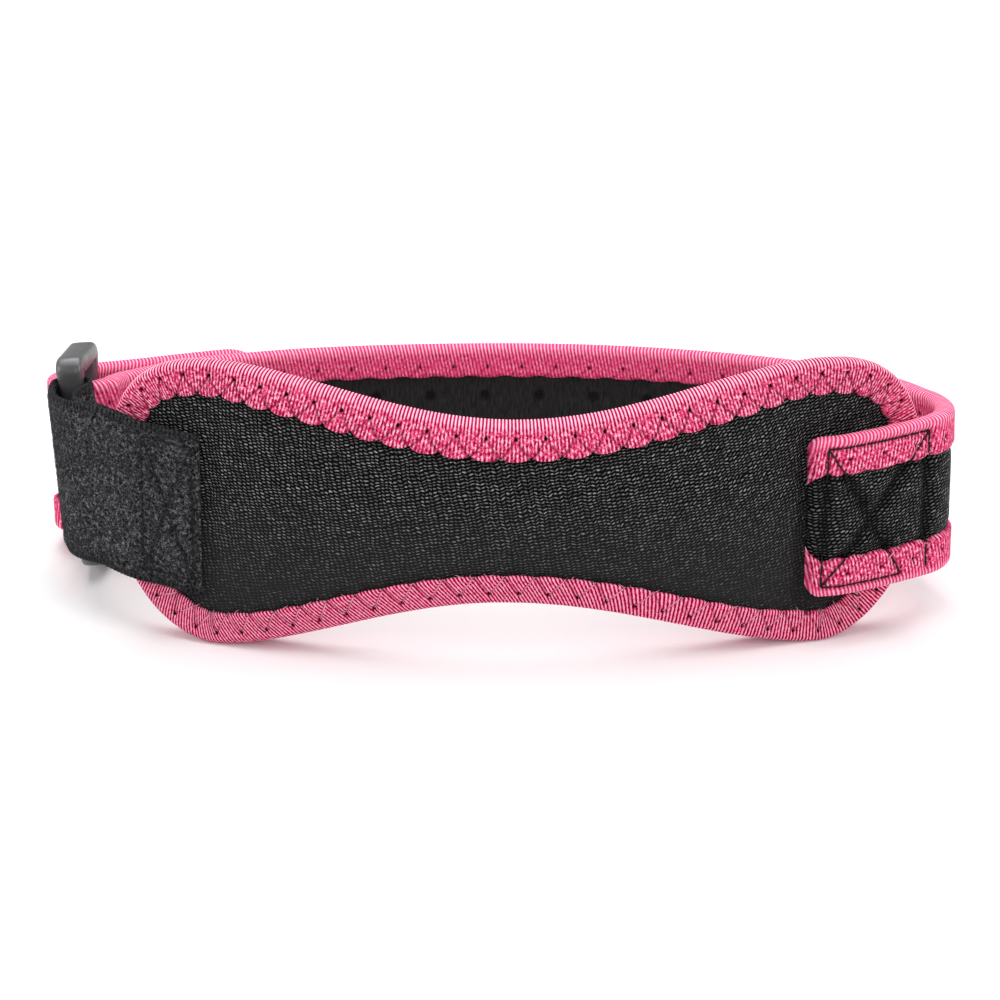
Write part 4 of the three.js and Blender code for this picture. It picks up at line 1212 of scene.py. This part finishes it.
def strap_tape(side):
    """Folded tape on the upper (side 1) or lower (side -1) edge: outer face, roll, inner face, inside."""
    stations = strap_band(STRAP_RIB_PITCH / STRAP_RIB_STEPS)
    run = stations["run"][:, None]
    width = STRAP_TAPE_WIDTH + STRAP_SCALLOP * (scallop(run, STRAP_STITCH) - 0.5)
    share = np.linspace(1.0, 0.0, STRAP_FACE_COLUMNS)[None, :]
    angle = np.linspace(np.pi / 2.0, -np.pi / 2.0, STRAP_ROLL_COLUMNS + 2)[None, 1:-1]
    face_in = STRAP_ROLL + (width - STRAP_ROLL) * share
    inner_in = STRAP_ROLL + (width - STRAP_INNER_SHORT - STRAP_ROLL) * share[:, ::-1]
    roll_in = STRAP_ROLL * (1.0 - np.cos(angle) ** STRAP_ROLL_POWER)
    roll_in = np.broadcast_to(roll_in, (len(run), STRAP_ROLL_COLUMNS))
    outer_edge = width - STRAP_EDGE_INSET
    inner_edge = outer_edge - STRAP_INNER_SHORT
    fold = np.full(run.shape, STRAP_FOLD_DEPTH)
    down = np.hstack([face_in, roll_in, inner_in, inner_edge, fold, fold, outer_edge])
    edge_out = (STRAP_HALF + STRAP_EDGE_CLEARANCE) / strap_tape_outer
    curl = 1.0 - (1.0 - edge_out) * smooth((share - 1.0) / STRAP_EDGE_TURN + 1.0)
    rise = np.sign(angle) * np.abs(np.sin(angle)) ** STRAP_ROLL_POWER
    fold_out = (STRAP_HALF + STRAP_FOLD_CLEARANCE) / strap_tape_outer
    inner = fold_out * np.array([[-1.0, -1.0, 1.0, 1.0]])
    out = strap_tape_outer * np.hstack([curl, rise, -curl[:, ::-1], inner])
    run = np.broadcast_to(run, down.shape)
    out = (out + strap_tape_outer) * end_round(run) - strap_tape_outer

    rib_turns = (run + STRAP_RIB_LEAN * down) / STRAP_RIB_PITCH
    rib = 0.5 + 0.5 * np.cos(2.0 * np.pi * rib_turns)
    crease, hole = zigzag_marks(run, down, width, STRAP_HOLE_IN, STRAP_STITCH)
    stitched = smooth((run - STRAP_STITCH_FROM["run"]) / STRAP_STITCH_FROM["over"])
    crease = crease * stitched
    hole = hole * stitched
    roll_share = 1.0 - smooth((down - STRAP_ROLL) / STRAP_ROLL_FADE)
    up = side * (stations["half"][:, None] - down)
    valley = seam_valley(run, up, BOX_CORNERS, BOX_LINES, STRAP_SEAM_REACH) * (out > 0.0)
    rib_share = STRAP_RIB_FLATTER + (1.0 - STRAP_RIB_FLATTER) * roll_share
    puff = STRAP_PUFF["height"] * smooth((down - STRAP_HOLE_IN) / STRAP_PUFF["reach"])
    puff = puff * scallop(run, STRAP_STITCH)
    sunk = STRAP_SUNK["crease"] * crease + STRAP_SUNK["hole"] * hole + STRAP_SUNK["seam"] * valley
    relief = (STRAP_RIB_HEIGHT * rib_share * (rib - 0.5) + puff - sunk) * end_round(run)
    relief[:, -STRAP_FOLD_COLUMNS:] = 0.0
    grid = on_band(stations, out, stations["mid"][:, None] + up)
    along_end = smooth((run - STRAP_SPECKLE["from"]) / STRAP_SPECKLE["over"])
    speckle = STRAP_SPECKLE["end"] + (STRAP_SPECKLE["rest"] - STRAP_SPECKLE["end"]) * along_end
    shade = np.maximum(STRAP_SHADE["crease"] * crease, STRAP_SHADE["seam"] * valley)
    fields = [run, down, speckle * (1.0 - roll_share), rib_turns, shade, hole]
    if side < 0:
        grid = grid[:, ::-1]
        relief = relief[:, ::-1]
        fields = [field[:, ::-1] for field in fields]
    grid = swell(grid, relief)
    name = "strap_binding_upper" if side > 0 else "strap_binding_lower"
    faces = capped(*grid.shape[:2])
    return make_piece(name, grid, faces, lay=vectors(*fields[:3]), relief=vectors(*fields[3:]))


smooth_pink = pink_tape("pink_smooth_tape", contrast=(0.7, 1.3), depth=0.1)
for side, node in ((1, "strap_binding_top"), (-1, "strap_binding_bottom")):
    strap_binding = strap_tape(side)
    strap_binding.data.materials.append(smooth_pink)
    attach(strap_binding, "root")
    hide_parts(node)

# The strap's zigzag threads, laid on a coarser line of the same band
STRAP_LINE_STEP = 0.5
STRAP_THREAD_RADIUS = 0.13
STRAP_THREAD_BED = {"face": 0.3, "at_hole": 0.4, "at_notch": 0.8}
STRAP_THREAD_DIVE = {"hole": 6, "notch": 8}

strap_line = strap_band(STRAP_LINE_STEP)


def strap_zigzag(side, face):
    """Thread of one strap binding on the strap's outer (face 1) or inner (face -1) side."""
    step = np.linspace(0.0, 1.0, THREAD_POINTS)
    hole = np.arange(1, int(strap_length / STRAP_STITCH) - 1)[:, None]
    legs = []
    for run_share, reach_share in ((0.5 * step, step), (0.5 + 0.5 * step, 1.0 - step)):
        run = (hole + run_share) * STRAP_STITCH
        notch = STRAP_TAPE_WIDTH - STRAP_SCALLOP / 2.0 - (STRAP_INNER_SHORT if face < 0 else 0.0)
        down = STRAP_HOLE_IN + (notch - STRAP_HOLE_IN) * reach_share
        lift = strap_tape_outer - STRAP_THREAD_BED["face"]
        lift = lift - STRAP_THREAD_BED["at_hole"] * (1.0 - reach_share) ** STRAP_THREAD_DIVE["hole"]
        lift = lift - STRAP_THREAD_BED["at_notch"] * reach_share ** STRAP_THREAD_DIVE["notch"]
        half = np.interp(run, strap_line["run"], strap_line["half"])
        legs.append(along_band(strap_line, run, face * lift, side * (half - down)))
    return np.concatenate(legs)


strap_seams = np.concatenate([strap_zigzag(side, face) for side in (1, -1) for face in (1, -1)])
strap_seam = strands("strap_binding_seam", pink_thread, strap_seams, STRAP_THREAD_RADIUS, THREAD_SIDES)
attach(strap_seam, "root")

# Sewn end of the strap
# Black thread in a box with a cross, through the strap's end and the pad. It sinks into the knit and shows
# as a thin dark line where it crosses the pink tape.

SEAM_STITCH = 2.6
SEAM_RADIUS = 0.2
SEAM_ENDS = 0.6
SEAM_GAP = 0.04
SEAM_BOW = 0.16
SEAM_BED = {"knit": 1.0, "tape": 0.54}
SEAM_CLIMB = {"before": 0.5, "over": 0.8}
BLACK_THREAD = (0.022, 0.02, 0.022, 1.0)
BLACK_THREAD_DEEP = (0.006, 0.005, 0.006, 1.0)


def seam_lines(corners, lines):
    """Each seam line as a row of stitches: run, height and bow for the points of every stitch."""
    runs, ups, bows = [], [], []
    step = np.linspace(SEAM_GAP, 1.0 - SEAM_GAP, THREAD_POINTS)
    bow = np.sin(np.pi * (step - SEAM_GAP) / (1.0 - 2.0 * SEAM_GAP))
    for start, end in lines:
        start, end = np.array(corners[start]), np.array(corners[end])
        count = max(1, round(np.linalg.norm(end - start) / SEAM_STITCH))
        share = (np.arange(count)[:, None] + step) / count
        runs.append(start[0] + share * (end - start)[0])
        ups.append(start[1] + share * (end - start)[1])
        bows.append(np.broadcast_to(bow, share.shape))
    return np.concatenate(runs), np.concatenate(ups), np.concatenate(bows)


# Ends of the thread left hanging below the strap's corner: where each leaves the strap and how far it falls
LOOSE_ENDS = (
    {"run": 0.6, "fall": 5.2, "sway": -2.6},
    {"run": 1.4, "fall": 4.0, "sway": 1.8},
    {"run": 9.0, "fall": 2.6, "sway": 3.4},
)
LOOSE_END_ROOT = {"up": 0.8, "out": -0.7, "bow": 0.5}


def loose_ends():
    """One row of points for each loose thread end, over the pad's binding below the strap."""
    step = np.linspace(0.0, 1.0, THREAD_POINTS)
    rows = []
    for end in LOOSE_ENDS:
        run = end["run"] + end["sway"] * step**1.5
        up = -STRAP_HEIGHT / 2.0 + LOOSE_END_ROOT["up"] - end["fall"] * step
        out = LOOSE_END_ROOT["bow"] * np.sin(np.pi * step) + LOOSE_END_ROOT["out"]
        rows.append(along_band(strap_line, np.maximum(run, 0.0), out, up))
    return np.stack(rows)


black_thread = thread_finish("black_thread", BLACK_THREAD, BLACK_THREAD_DEEP)
run, up, bow = seam_lines(BOX_CORNERS, BOX_LINES)
past_knit = np.abs(up) - STRAP_HEIGHT / 2.0 + STRAP_TAPE_WIDTH
on_tape = smooth((past_knit + SEAM_CLIMB["before"]) / SEAM_CLIMB["over"])
on_knit_out = STRAP_HALF - SEAM_BED["knit"]
on_tape_out = strap_tape_outer - SEAM_BED["tape"]
out = on_knit_out * (1.0 - on_tape) + on_tape_out * on_tape + SEAM_BOW * bow
end_threads = np.concatenate([along_band(strap_line, run, out, up), loose_ends()])
strap_end_seam = strands("strap_end_seam", black_thread, end_threads, SEAM_RADIUS, THREAD_SIDES, SEAM_ENDS)
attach(strap_end_seam, "root")

# Ring tape
# A charcoal loop-pile tape with ribbed selvages. It is sewn on the pad's left end, runs out round the
# ring's front bar and comes back under itself, so the brushed pile faces forward.

RING_TAPE_HEIGHT = 36.4
RING_TAPE_HALF = 0.6
RING_TAPE_START = 66.0
RING_TAPE_RETURN = 80.5
RING_TAPE_MID = 34.5
RING_TAPE_DROP = 4.9
RING_TAPE_LEVEL_FROM = 88.0
RING_TAPE_CLEARANCE = 1.3
GATHER = 9.0
GATHERS_FROM = 102.0
RING_TAPE_STEP = 0.21
SELVAGE = 2.0
SELVAGE_PITCH = 0.95
SELVAGE_EDGE = 0.6
SELVAGE_RIB = 0.12
SELVAGE_WANDER = {"reach": 0.25, "rate": 0.7}
RING_TAPE_FACE_COLUMNS = 44
RING_TAPE_UNDER_COLUMNS = 20
RING_TAPE_PATH_POINTS = {"over": 400, "turn": 120, "under": 300}
RING_TAPE_EDGE_THIN = {"share": 0.6, "power": 30}
LUMPS = {"height": 0.1, "run": 2.9, "up": 2.6}
LUMPS_BEND = {"run": 3.0, "by_up": 1.3, "up": 2.0, "by_run": 1.1}
RING_TAPE_RIPPLES = {"height": 0.15, "run": 4.5, "up": 9.0, "cross_up": 5.0, "cross_run": 11.0}
RING_TAPE_RIPPLES_FROM = {"run": 14.0, "over": 6.0}
RING_TAPE_SEAM = {"sunk": 0.32, "reach": 0.8}
RING_TAPE_CUT_END = {"sunk": 0.3, "reach": 0.45}

tape_turn = BAR_RADIUS + RING_TAPE_CLEARANCE + RING_TAPE_HALF
under_tape = pad_end_out + GAP + RING_TAPE_HALF
over_tape = under_tape + 2.0 * RING_TAPE_HALF + GAP
RING_TAPE_OVER = (
    {"along": RING_TAPE_START, "out": PAD_EDGE_HALF + GAP + RING_TAPE_HALF},
    {"along": 70.0, "out": under_tape},
    {"along": 74.0, "out": under_tape},
    {"along": 79.5, "out": over_tape},
    {"along": 91.0, "out": over_tape},
    {"along": RING_FRONT_BAR - 1.0, "out": tape_turn},
)
RING_TAPE_UNDER = (
    {"along": RING_TAPE_RETURN, "out": under_tape},
    {"along": 91.0, "out": under_tape},
    {"along": RING_FRONT_BAR - 1.0, "out": -tape_turn},
)
RING_TAPE_BOX = {
    "low_end": (2.0, -15.0),
    "high_end": (2.0, 15.0),
    "high_far": (13.0, 15.0),
    "low_far": (13.0, -15.0),
    "cross_low": (13.0, -15.0),
}


def ring_tape_stations(step):
    """Stations of the tape from its sewn end out round the ring's front bar and back under itself."""
    over = np.linspace(RING_TAPE_START, RING_FRONT_BAR, RING_TAPE_PATH_POINTS["over"])
    turn = np.linspace(0.0, np.pi, RING_TAPE_PATH_POINTS["turn"])[1:-1]
    under = np.linspace(RING_FRONT_BAR, RING_TAPE_RETURN, RING_TAPE_PATH_POINTS["under"])
    along = np.concatenate([over, RING_FRONT_BAR + tape_turn * np.sin(turn), under])
    round_bar = tape_turn * np.cos(turn)
    out = np.concatenate([from_table(RING_TAPE_OVER, over), round_bar, from_table(RING_TAPE_UNDER, under)])
    fall = np.clip((RING_TAPE_LEVEL_FROM - along) / (RING_TAPE_LEVEL_FROM - RING_TAPE_START), 0.0, 1.0)
    gather = GATHER * smooth((along - GATHERS_FROM) / (RING_FRONT_BAR + tape_turn - GATHERS_FROM))
    return band(-along, out, step, mid=RING_TAPE_MID - RING_TAPE_DROP * fall, gather=gather)


def tape_height(level, gather):
    """Height off the tape's middle line; its lower half is drawn up where it is gathered round the bar."""
    return level * RING_TAPE_HEIGHT / 2.0 + gather * np.maximum(-level, 0.0)


def ring_tape_piece():
    """The tape's body, with lumps under its pile, ribs at its selvages and valleys at its seam."""
    stations = ring_tape_stations(RING_TAPE_STEP)
    half = RING_TAPE_HEIGHT / 2.0
    face_level = np.linspace(1.0, -1.0, RING_TAPE_FACE_COLUMNS)
    under_level = np.linspace(-1.0, 1.0, RING_TAPE_UNDER_COLUMNS)
    level = np.concatenate([face_level, under_level])

    # The tape runs to the left, so its pile is on the negative side of its stations
    side = np.concatenate([-np.ones(RING_TAPE_FACE_COLUMNS), np.ones(RING_TAPE_UNDER_COLUMNS)])
    run = np.broadcast_to(stations["run"][:, None], (len(stations["run"]), len(level)))
    flat = np.broadcast_to(level * half, run.shape)
    thin = RING_TAPE_EDGE_THIN["share"] * np.abs(level) ** RING_TAPE_EDGE_THIN["power"]
    thick = RING_TAPE_HALF * (1.0 - thin)
    selvage = smooth((np.abs(flat) - half + SELVAGE) / SELVAGE_EDGE)
    wander = SELVAGE_WANDER["reach"] * np.sin(run * SELVAGE_WANDER["rate"])
    rib = selvage * (0.5 + 0.5 * np.cos(2.0 * np.pi * (run + wander) / SELVAGE_PITCH))
    valley = seam_valley(run, flat, RING_TAPE_BOX, BOX_LINES, RING_TAPE_SEAM["reach"])
    bent_run = run * LUMPS["run"] + LUMPS_BEND["run"] * np.sin(flat * LUMPS_BEND["by_up"])
    bent_up = flat * LUMPS["up"] + LUMPS_BEND["up"] * np.sin(run * LUMPS_BEND["by_run"])
    lumps = LUMPS["height"] * np.sin(bent_run) * np.sin(bent_up)
    off_pad = smooth((run - RING_TAPE_RIPPLES_FROM["run"]) / RING_TAPE_RIPPLES_FROM["over"])
    relief = lumps * (1.0 - selvage) + SELVAGE_RIB * (rib - 0.5) * selvage
    relief = relief + ripples(run, flat, RING_TAPE_RIPPLES) * off_pad
    relief = relief - np.where(side < 0.0, RING_TAPE_SEAM["sunk"] * valley, 0.0)
    relief = relief - RING_TAPE_CUT_END["sunk"] * np.exp(-((run / RING_TAPE_CUT_END["reach"]) ** 2))
    height = tape_height(level, stations["gather"][:, None])
    grid = on_band(stations, np.broadcast_to(side * thick, run.shape), stations["mid"][:, None] + height)
    grid = swell(grid, relief)
    piece = make_piece(
        "ring_tape_band",
        grid,
        capped(*grid.shape[:2]),
        lay=vectors(run, flat, -side),
        relief=vectors(rib, valley, selvage),
    )
    return piece, stations


PILE_DARK = (0.003, 0.003, 0.0034, 1.0)
PILE_GREY = (0.032, 0.032, 0.035, 1.0)
PILE_PALE = (0.2, 0.2, 0.21, 1.0)
PILE_PLAIN = {
    "Roughness": 0.9,
    "Specular IOR Level": 0.05,
    "Sheen Weight": 0.03,
    "Sheen Tint": (0.75, 0.75, 0.8, 1.0),
    "Sheen Roughness": 0.45,
}
PILE_CLUMPS = {"scale": 1.5, "detail": 3.0, "Roughness": 0.7}
PILE_CURLS = {"scale": 3.2, "detail": 2.0, "Distortion": 1.2}
PILE_GREY_FROM = (0.43, 0.51)
PILE_PALE_FROM = (0.51, 0.6)
PILE_BUMP = {"strength": 0.9, "distance": 0.35}
SELVAGE_WEAVE = {"span": (0.3, 1.0), "share": 0.8}


def pile_finish():
    """Brushed loop pile: clumps of fine grey loops over a dark ground, with woven ribs at the selvages."""
    material, shader, nodes = new_material("loop_pile", PILE_PLAIN)
    lay = nodes.field("lay")
    rib, _, selvage = nodes.parts(nodes.field("relief"))
    clump = nodes.noise(lay, **PILE_CLUMPS)
    curl = nodes.noise(lay, **PILE_CURLS)
    share = nodes.math("ADD", nodes.math("MULTIPLY", clump, 0.5), nodes.math("MULTIPLY", curl, 0.5))
    colour = nodes.mix(nodes.between(share, *PILE_GREY_FROM), PILE_DARK, PILE_GREY)
    colour = nodes.mix(nodes.between(share, *PILE_PALE_FROM), colour, PILE_PALE)
    woven = nodes.mix(nodes.between(rib, *SELVAGE_WEAVE["span"]), PILE_DARK, PILE_GREY)
    colour = nodes.mix(nodes.math("MULTIPLY", selvage, SELVAGE_WEAVE["share"]), colour, woven)
    nodes.feed(shader, {"Base Color": colour, "Normal": nodes.bump(share, **PILE_BUMP)})
    return material


ring_tape, tape_line = ring_tape_piece()
ring_tape.data.materials.append(pile_finish())
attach(ring_tape, "root")
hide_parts("buckle_tape")

# Pile of the ring tape
# Fine nylon loops that stand off the tape's brushed face. They lie every way, and give it its soft outline.

PILE_COUNT = 5000
PILE_POINTS = 5
PILE_RADIUS = 0.05
PILE_SIDES = 3
PILE_START = 0.3
PILE_RUN = 54.0
PILE_OVER_SELVAGE = 0.6
PILE_LENGTH = (0.5, 1.7)
PILE_HEIGHT = (0.12, 0.42)
PILE_BEND = (-0.9, 0.9)
PILE_KEPT_ON = {"from": 0.05, "past": 1.0}
PILE_ROOT = 0.06
PILE_FIBRE = (0.12, 0.12, 0.128, 1.0)


def pile_loops():
    """One row of points for each loop: it leaves the tape, bows up and comes down again."""
    half = RING_TAPE_HEIGHT / 2.0
    run = chance.uniform(PILE_START, PILE_RUN, PILE_COUNT)[:, None]
    up = chance.uniform(-1.0, 1.0, PILE_COUNT)[:, None] * (half - SELVAGE + PILE_OVER_SELVAGE)
    turn = chance.uniform(0.0, 2.0 * np.pi, PILE_COUNT)[:, None]
    length = chance.uniform(*PILE_LENGTH, PILE_COUNT)[:, None]
    height = chance.uniform(*PILE_HEIGHT, PILE_COUNT)[:, None]
    bend = chance.uniform(*PILE_BEND, PILE_COUNT)[:, None]
    step = np.linspace(-0.5, 0.5, PILE_POINTS)
    heading = turn + bend * step
    run = run + length * step * np.cos(heading)
    run = np.clip(run, PILE_KEPT_ON["from"], PILE_RUN + PILE_KEPT_ON["past"])
    level = (up + length * step * np.sin(heading)) / half
    out = -(RING_TAPE_HALF - PILE_ROOT + height * (1.0 - (2.0 * step) ** 2))
    gather = np.interp(run, tape_line["run"], tape_line["gather"])
    return along_band(tape_line, run, out, tape_height(level, gather))


pile_fibre = thread_finish("pile_fibre", PILE_FIBRE, PILE_DARK)
tape_pile = strands("ring_tape_pile", pile_fibre, pile_loops(), PILE_RADIUS, PILE_SIDES)
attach(tape_pile, "root")

# Sewn end of the ring tape
# Black thread in a box with a cross, through the tape's end and the pad. It draws the pile down.

RING_TAPE_SEAM_BED = 0.2
RING_TAPE_SEAM_BOW = 0.18

run, up, bow = seam_lines(RING_TAPE_BOX, BOX_LINES)
out = -(RING_TAPE_HALF - RING_TAPE_SEAM_BED + RING_TAPE_SEAM_BOW * bow)
tape_threads = along_band(tape_line, run, out, up)
tape_end_seam = strands("ring_tape_seam", black_thread, tape_threads, SEAM_RADIUS, THREAD_SIDES, SEAM_ENDS)
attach(tape_end_seam, "root")

# Ring
# A moulded plastic ring of satin charcoal nylon, with two rounded bars and two thicker, softened end blocks.
# The tape loops round its front bar and the strap round its rear bar.

RING_HEIGHT = 49.2
RING_MID = 33.5
RING_TOP = {"corner": 1.2, "half": 3.0, "reach": 7.0, "deeper": 0.1}
RING_FOOT = {"corner": 3.0, "half": 3.1, "reach": 2.6, "deeper": 0.0}
BAR_HALF = 2.5
RING_STEPS = 14
RING_BAR_STEP = 0.8
RING_SECTION = 36
RING_SQUARENESS = {"bar": 2.4, "block": 4.8}
RING_EDGE_SHARPNESS = 3


def ring_path():
    """Centre line of the ring in its own frame, with the way out of it and the share of an end block."""
    half_length = BAR_SPACING / 2.0
    half_height = RING_HEIGHT / 2.0 - BAR_RADIUS
    rows = []
    for quarter, (side_x, side_z) in enumerate(((1, 1), (-1, 1), (-1, -1), (1, -1))):
        corner = (RING_TOP if side_z > 0 else RING_FOOT)["corner"]
        for share in np.linspace(0.0, 1.0, RING_STEPS):
            angle = math.pi / 2.0 * (quarter + share)
            out_x, out_z = math.cos(angle), math.sin(angle)
            x = side_x * (half_length - corner) + corner * out_x
            z = side_z * (half_height - corner) + corner * out_z
            rows.append((x, z, out_x, out_z))
    rows = np.array(rows)
    following = np.roll(rows, -1, 0)
    count = np.maximum(1, np.round(np.hypot(*(following - rows)[:, :2].T) / RING_BAR_STEP)).astype(int)
    rows = np.concatenate([
        row + (after - row) * (np.arange(steps) / steps)[:, None]
        for row, after, steps in zip(rows, following, count)
    ])
    reach = np.where(rows[:, 1] > 0.0, RING_TOP["reach"], RING_FOOT["reach"])
    block = smooth((np.abs(rows[:, 1]) - half_height) / reach + 1.0)
    return np.column_stack([rows, block])


def ring_piece():
    """The ring swept round its path, tilted with the strap and set between its two bars' places."""
    x, z, out_x, out_z, block = ring_path().T[:, :, None]
    angle = 2.0 * np.pi * np.arange(RING_SECTION)[None, :] / RING_SECTION
    squareness = RING_SQUARENESS["bar"] + (RING_SQUARENESS["block"] - RING_SQUARENESS["bar"]) * block
    power = 2.0 / squareness
    radial = np.sign(np.cos(angle)) * np.abs(np.cos(angle)) ** power * BAR_RADIUS
    deeper = np.where(z > 0.0, RING_TOP["deeper"], RING_FOOT["deeper"])
    radial = np.where(radial < 0.0, radial * (1.0 + deeper * block), radial)
    half_thick = BAR_HALF + (np.where(z > 0.0, RING_TOP["half"], RING_FOOT["half"]) - BAR_HALF) * block
    across = np.sign(np.sin(angle)) * np.abs(np.sin(angle)) ** power * half_thick
    ring = np.stack([x + out_x * radial, across, z + out_z * radial], -1)

    front = [float(value) for value in on_loop(-RING_FRONT_BAR)]
    rear = [float(value) for value in on_loop(-RING_FRONT_BAR - BAR_SPACING)]
    tilt = -math.atan(front[4])
    upright = ring[..., 1] * math.sin(tilt) + ring[..., 2] * math.cos(tilt)
    outward = ring[..., 1] * math.cos(tilt) - ring[..., 2] * math.sin(tilt)
    turn = math.atan2(rear[1] - front[1], rear[0] - front[0])
    reach = front[4] * (RING_MID - LEAN_PIVOT)
    centre_x = (front[0] + rear[0] + reach * (front[2] + rear[2])) / 2.0
    centre_y = (front[1] + rear[1] + reach * (front[3] + rear[3])) / 2.0
    placed = np.stack([
        centre_x + ring[..., 0] * math.cos(turn) - outward * math.sin(turn),
        centre_y + ring[..., 0] * math.sin(turn) + outward * math.cos(turn),
        RING_MID + upright,
    ], -1)
    edge = np.broadcast_to(np.abs(np.sin(2.0 * angle)) ** RING_EDGE_SHARPNESS * block, placed.shape[:2])
    return make_piece(
        "strap_ring",
        placed[:, ::-1],
        grid_faces(*placed.shape[:2], closed_rows=True),
        lay=ring.reshape(-1, 3),
        relief=vectors(edge, block, 0.0),
    )


PLASTIC = (0.058, 0.059, 0.062, 1.0)
PLASTIC_PALE_EDGE = (0.2, 0.202, 0.208, 1.0)
PLASTIC_PLAIN = {"Specular IOR Level": 0.75}
PLASTIC_EDGE_PALING = {"span": (0.35, 0.65), "share": 0.6}
PLASTIC_GRAIN = {"scale": 6.0, "detail": 3.0}
PLASTIC_FLOW = {"scale": 0.25, "detail": 2.0}
PLASTIC_GLOSS = {"span": (0.3, 0.7), "roughness": (0.3, 0.42)}
PLASTIC_BUMP = {"strength": 0.25, "distance": 0.06}


def plastic_finish():
    """Satin moulded plastic: fine spark grain, faint flow marks, and edges a little paler in patches of the
    grain.
    """
    material, shader, nodes = new_material("ring_plastic", PLASTIC_PLAIN)
    lay = nodes.field("lay")
    edge, _, _ = nodes.parts(nodes.field("relief"))
    grain = nodes.noise(lay, **PLASTIC_GRAIN)
    flow = nodes.noise(lay, **PLASTIC_FLOW)
    # The end blocks' edges are paler in patches of the grain
    paler_edge = nodes.math("MULTIPLY", edge, nodes.between(grain, *PLASTIC_EDGE_PALING["span"]))
    nodes.feed(shader, {
        "Base Color": nodes.mix(nodes.math("MULTIPLY", paler_edge, PLASTIC_EDGE_PALING["share"]), PLASTIC, PLASTIC_PALE_EDGE),
        "Roughness": nodes.between(flow, *PLASTIC_GLOSS["span"], *PLASTIC_GLOSS["roughness"]),
        "Normal": nodes.bump(grain, **PLASTIC_BUMP),
    })
    return material


strap_ring = ring_piece()
strap_ring.data.materials.append(plastic_finish())
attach(strap_ring, "root")
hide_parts("buckle")

# Studio
# A plain white floor, large soft lights all round and above, and a long lens looking down on the front.

FLOOR_SIZE = 6.0
FLOOR_PLAIN = {"Base Color": (0.95, 0.95, 0.95, 1.0), "Roughness": 0.16, "Specular IOR Level": 0.5}
WORLD_WHITE = (1.0, 1.0, 1.0, 1.0)
WORLD_STRENGTH = 0.28
CAMERA_SENSOR = 36.0
CAMERA_AIM = np.array([0.00115, 0.00388, 0.01411])
CAMERA_DISTANCE = 0.9
CAMERA_ELEVATION = math.radians(29.1)
CAMERA_LENS = 142.6

floor_mesh = bpy.data.meshes.new("floor")
floor_half = FLOOR_SIZE / 2.0
floor_corners = ((-1, -1), (1, -1), (1, 1), (-1, 1))
floor_mesh.from_pydata([(x * floor_half, y * floor_half, 0.0) for x, y in floor_corners], [], [(0, 1, 2, 3)])
floor = bpy.data.objects.new("floor", floor_mesh)
bpy.context.collection.objects.link(floor)
floor_mesh.materials.append(new_material("floor_white", FLOOR_PLAIN)[0])

LIGHTS = (
    {"name": "overhead", "at": (0.0, 0.35, 1.6), "size": 2.0, "power": 28.0},
    {"name": "behind", "at": (-0.3, 1.1, 1.5), "size": 1.0, "power": 10.0},
    {"name": "left", "at": (-1.3, -0.5, 0.75), "size": 1.0, "power": 9.0},
    {"name": "right", "at": (1.3, -0.5, 0.75), "size": 1.0, "power": 9.0},
    {"name": "front", "at": (0.0, -1.7, 1.0), "size": 1.2, "power": 6.0},
)
for row in LIGHTS:
    lamp = bpy.data.lights.new(row["name"], "AREA")
    lamp.shape = "DISK"
    lamp.size = row["size"]
    lamp.energy = row["power"]
    light = bpy.data.objects.new(row["name"], lamp)
    light.location = row["at"]
    toward = -np.array(row["at"])
    tip = math.acos(-toward[2] / np.linalg.norm(toward))
    light.rotation_euler = (tip, 0.0, math.atan2(toward[1], toward[0]) - math.pi / 2.0)
    bpy.context.collection.objects.link(light)

world = bpy.data.worlds.new("studio")
world.use_nodes = True
background = world.node_tree.nodes["Background"].inputs
background["Color"].default_value = WORLD_WHITE
background["Strength"].default_value = WORLD_STRENGTH
bpy.context.scene.world = world
bpy.context.scene.view_settings.view_transform = "Standard"

camera_data = bpy.data.cameras.new("camera")
camera_data.lens = CAMERA_LENS
camera_data.sensor_width = CAMERA_SENSOR
camera = bpy.data.objects.new("camera", camera_data)
camera_way = np.array([0.0, -math.cos(CAMERA_ELEVATION), math.sin(CAMERA_ELEVATION)])
camera.location = CAMERA_AIM + CAMERA_DISTANCE * camera_way
camera.rotation_euler = (math.pi / 2.0 - CAMERA_ELEVATION, 0.0, 0.0)
bpy.context.collection.objects.link(camera)
bpy.context.scene.camera = camera
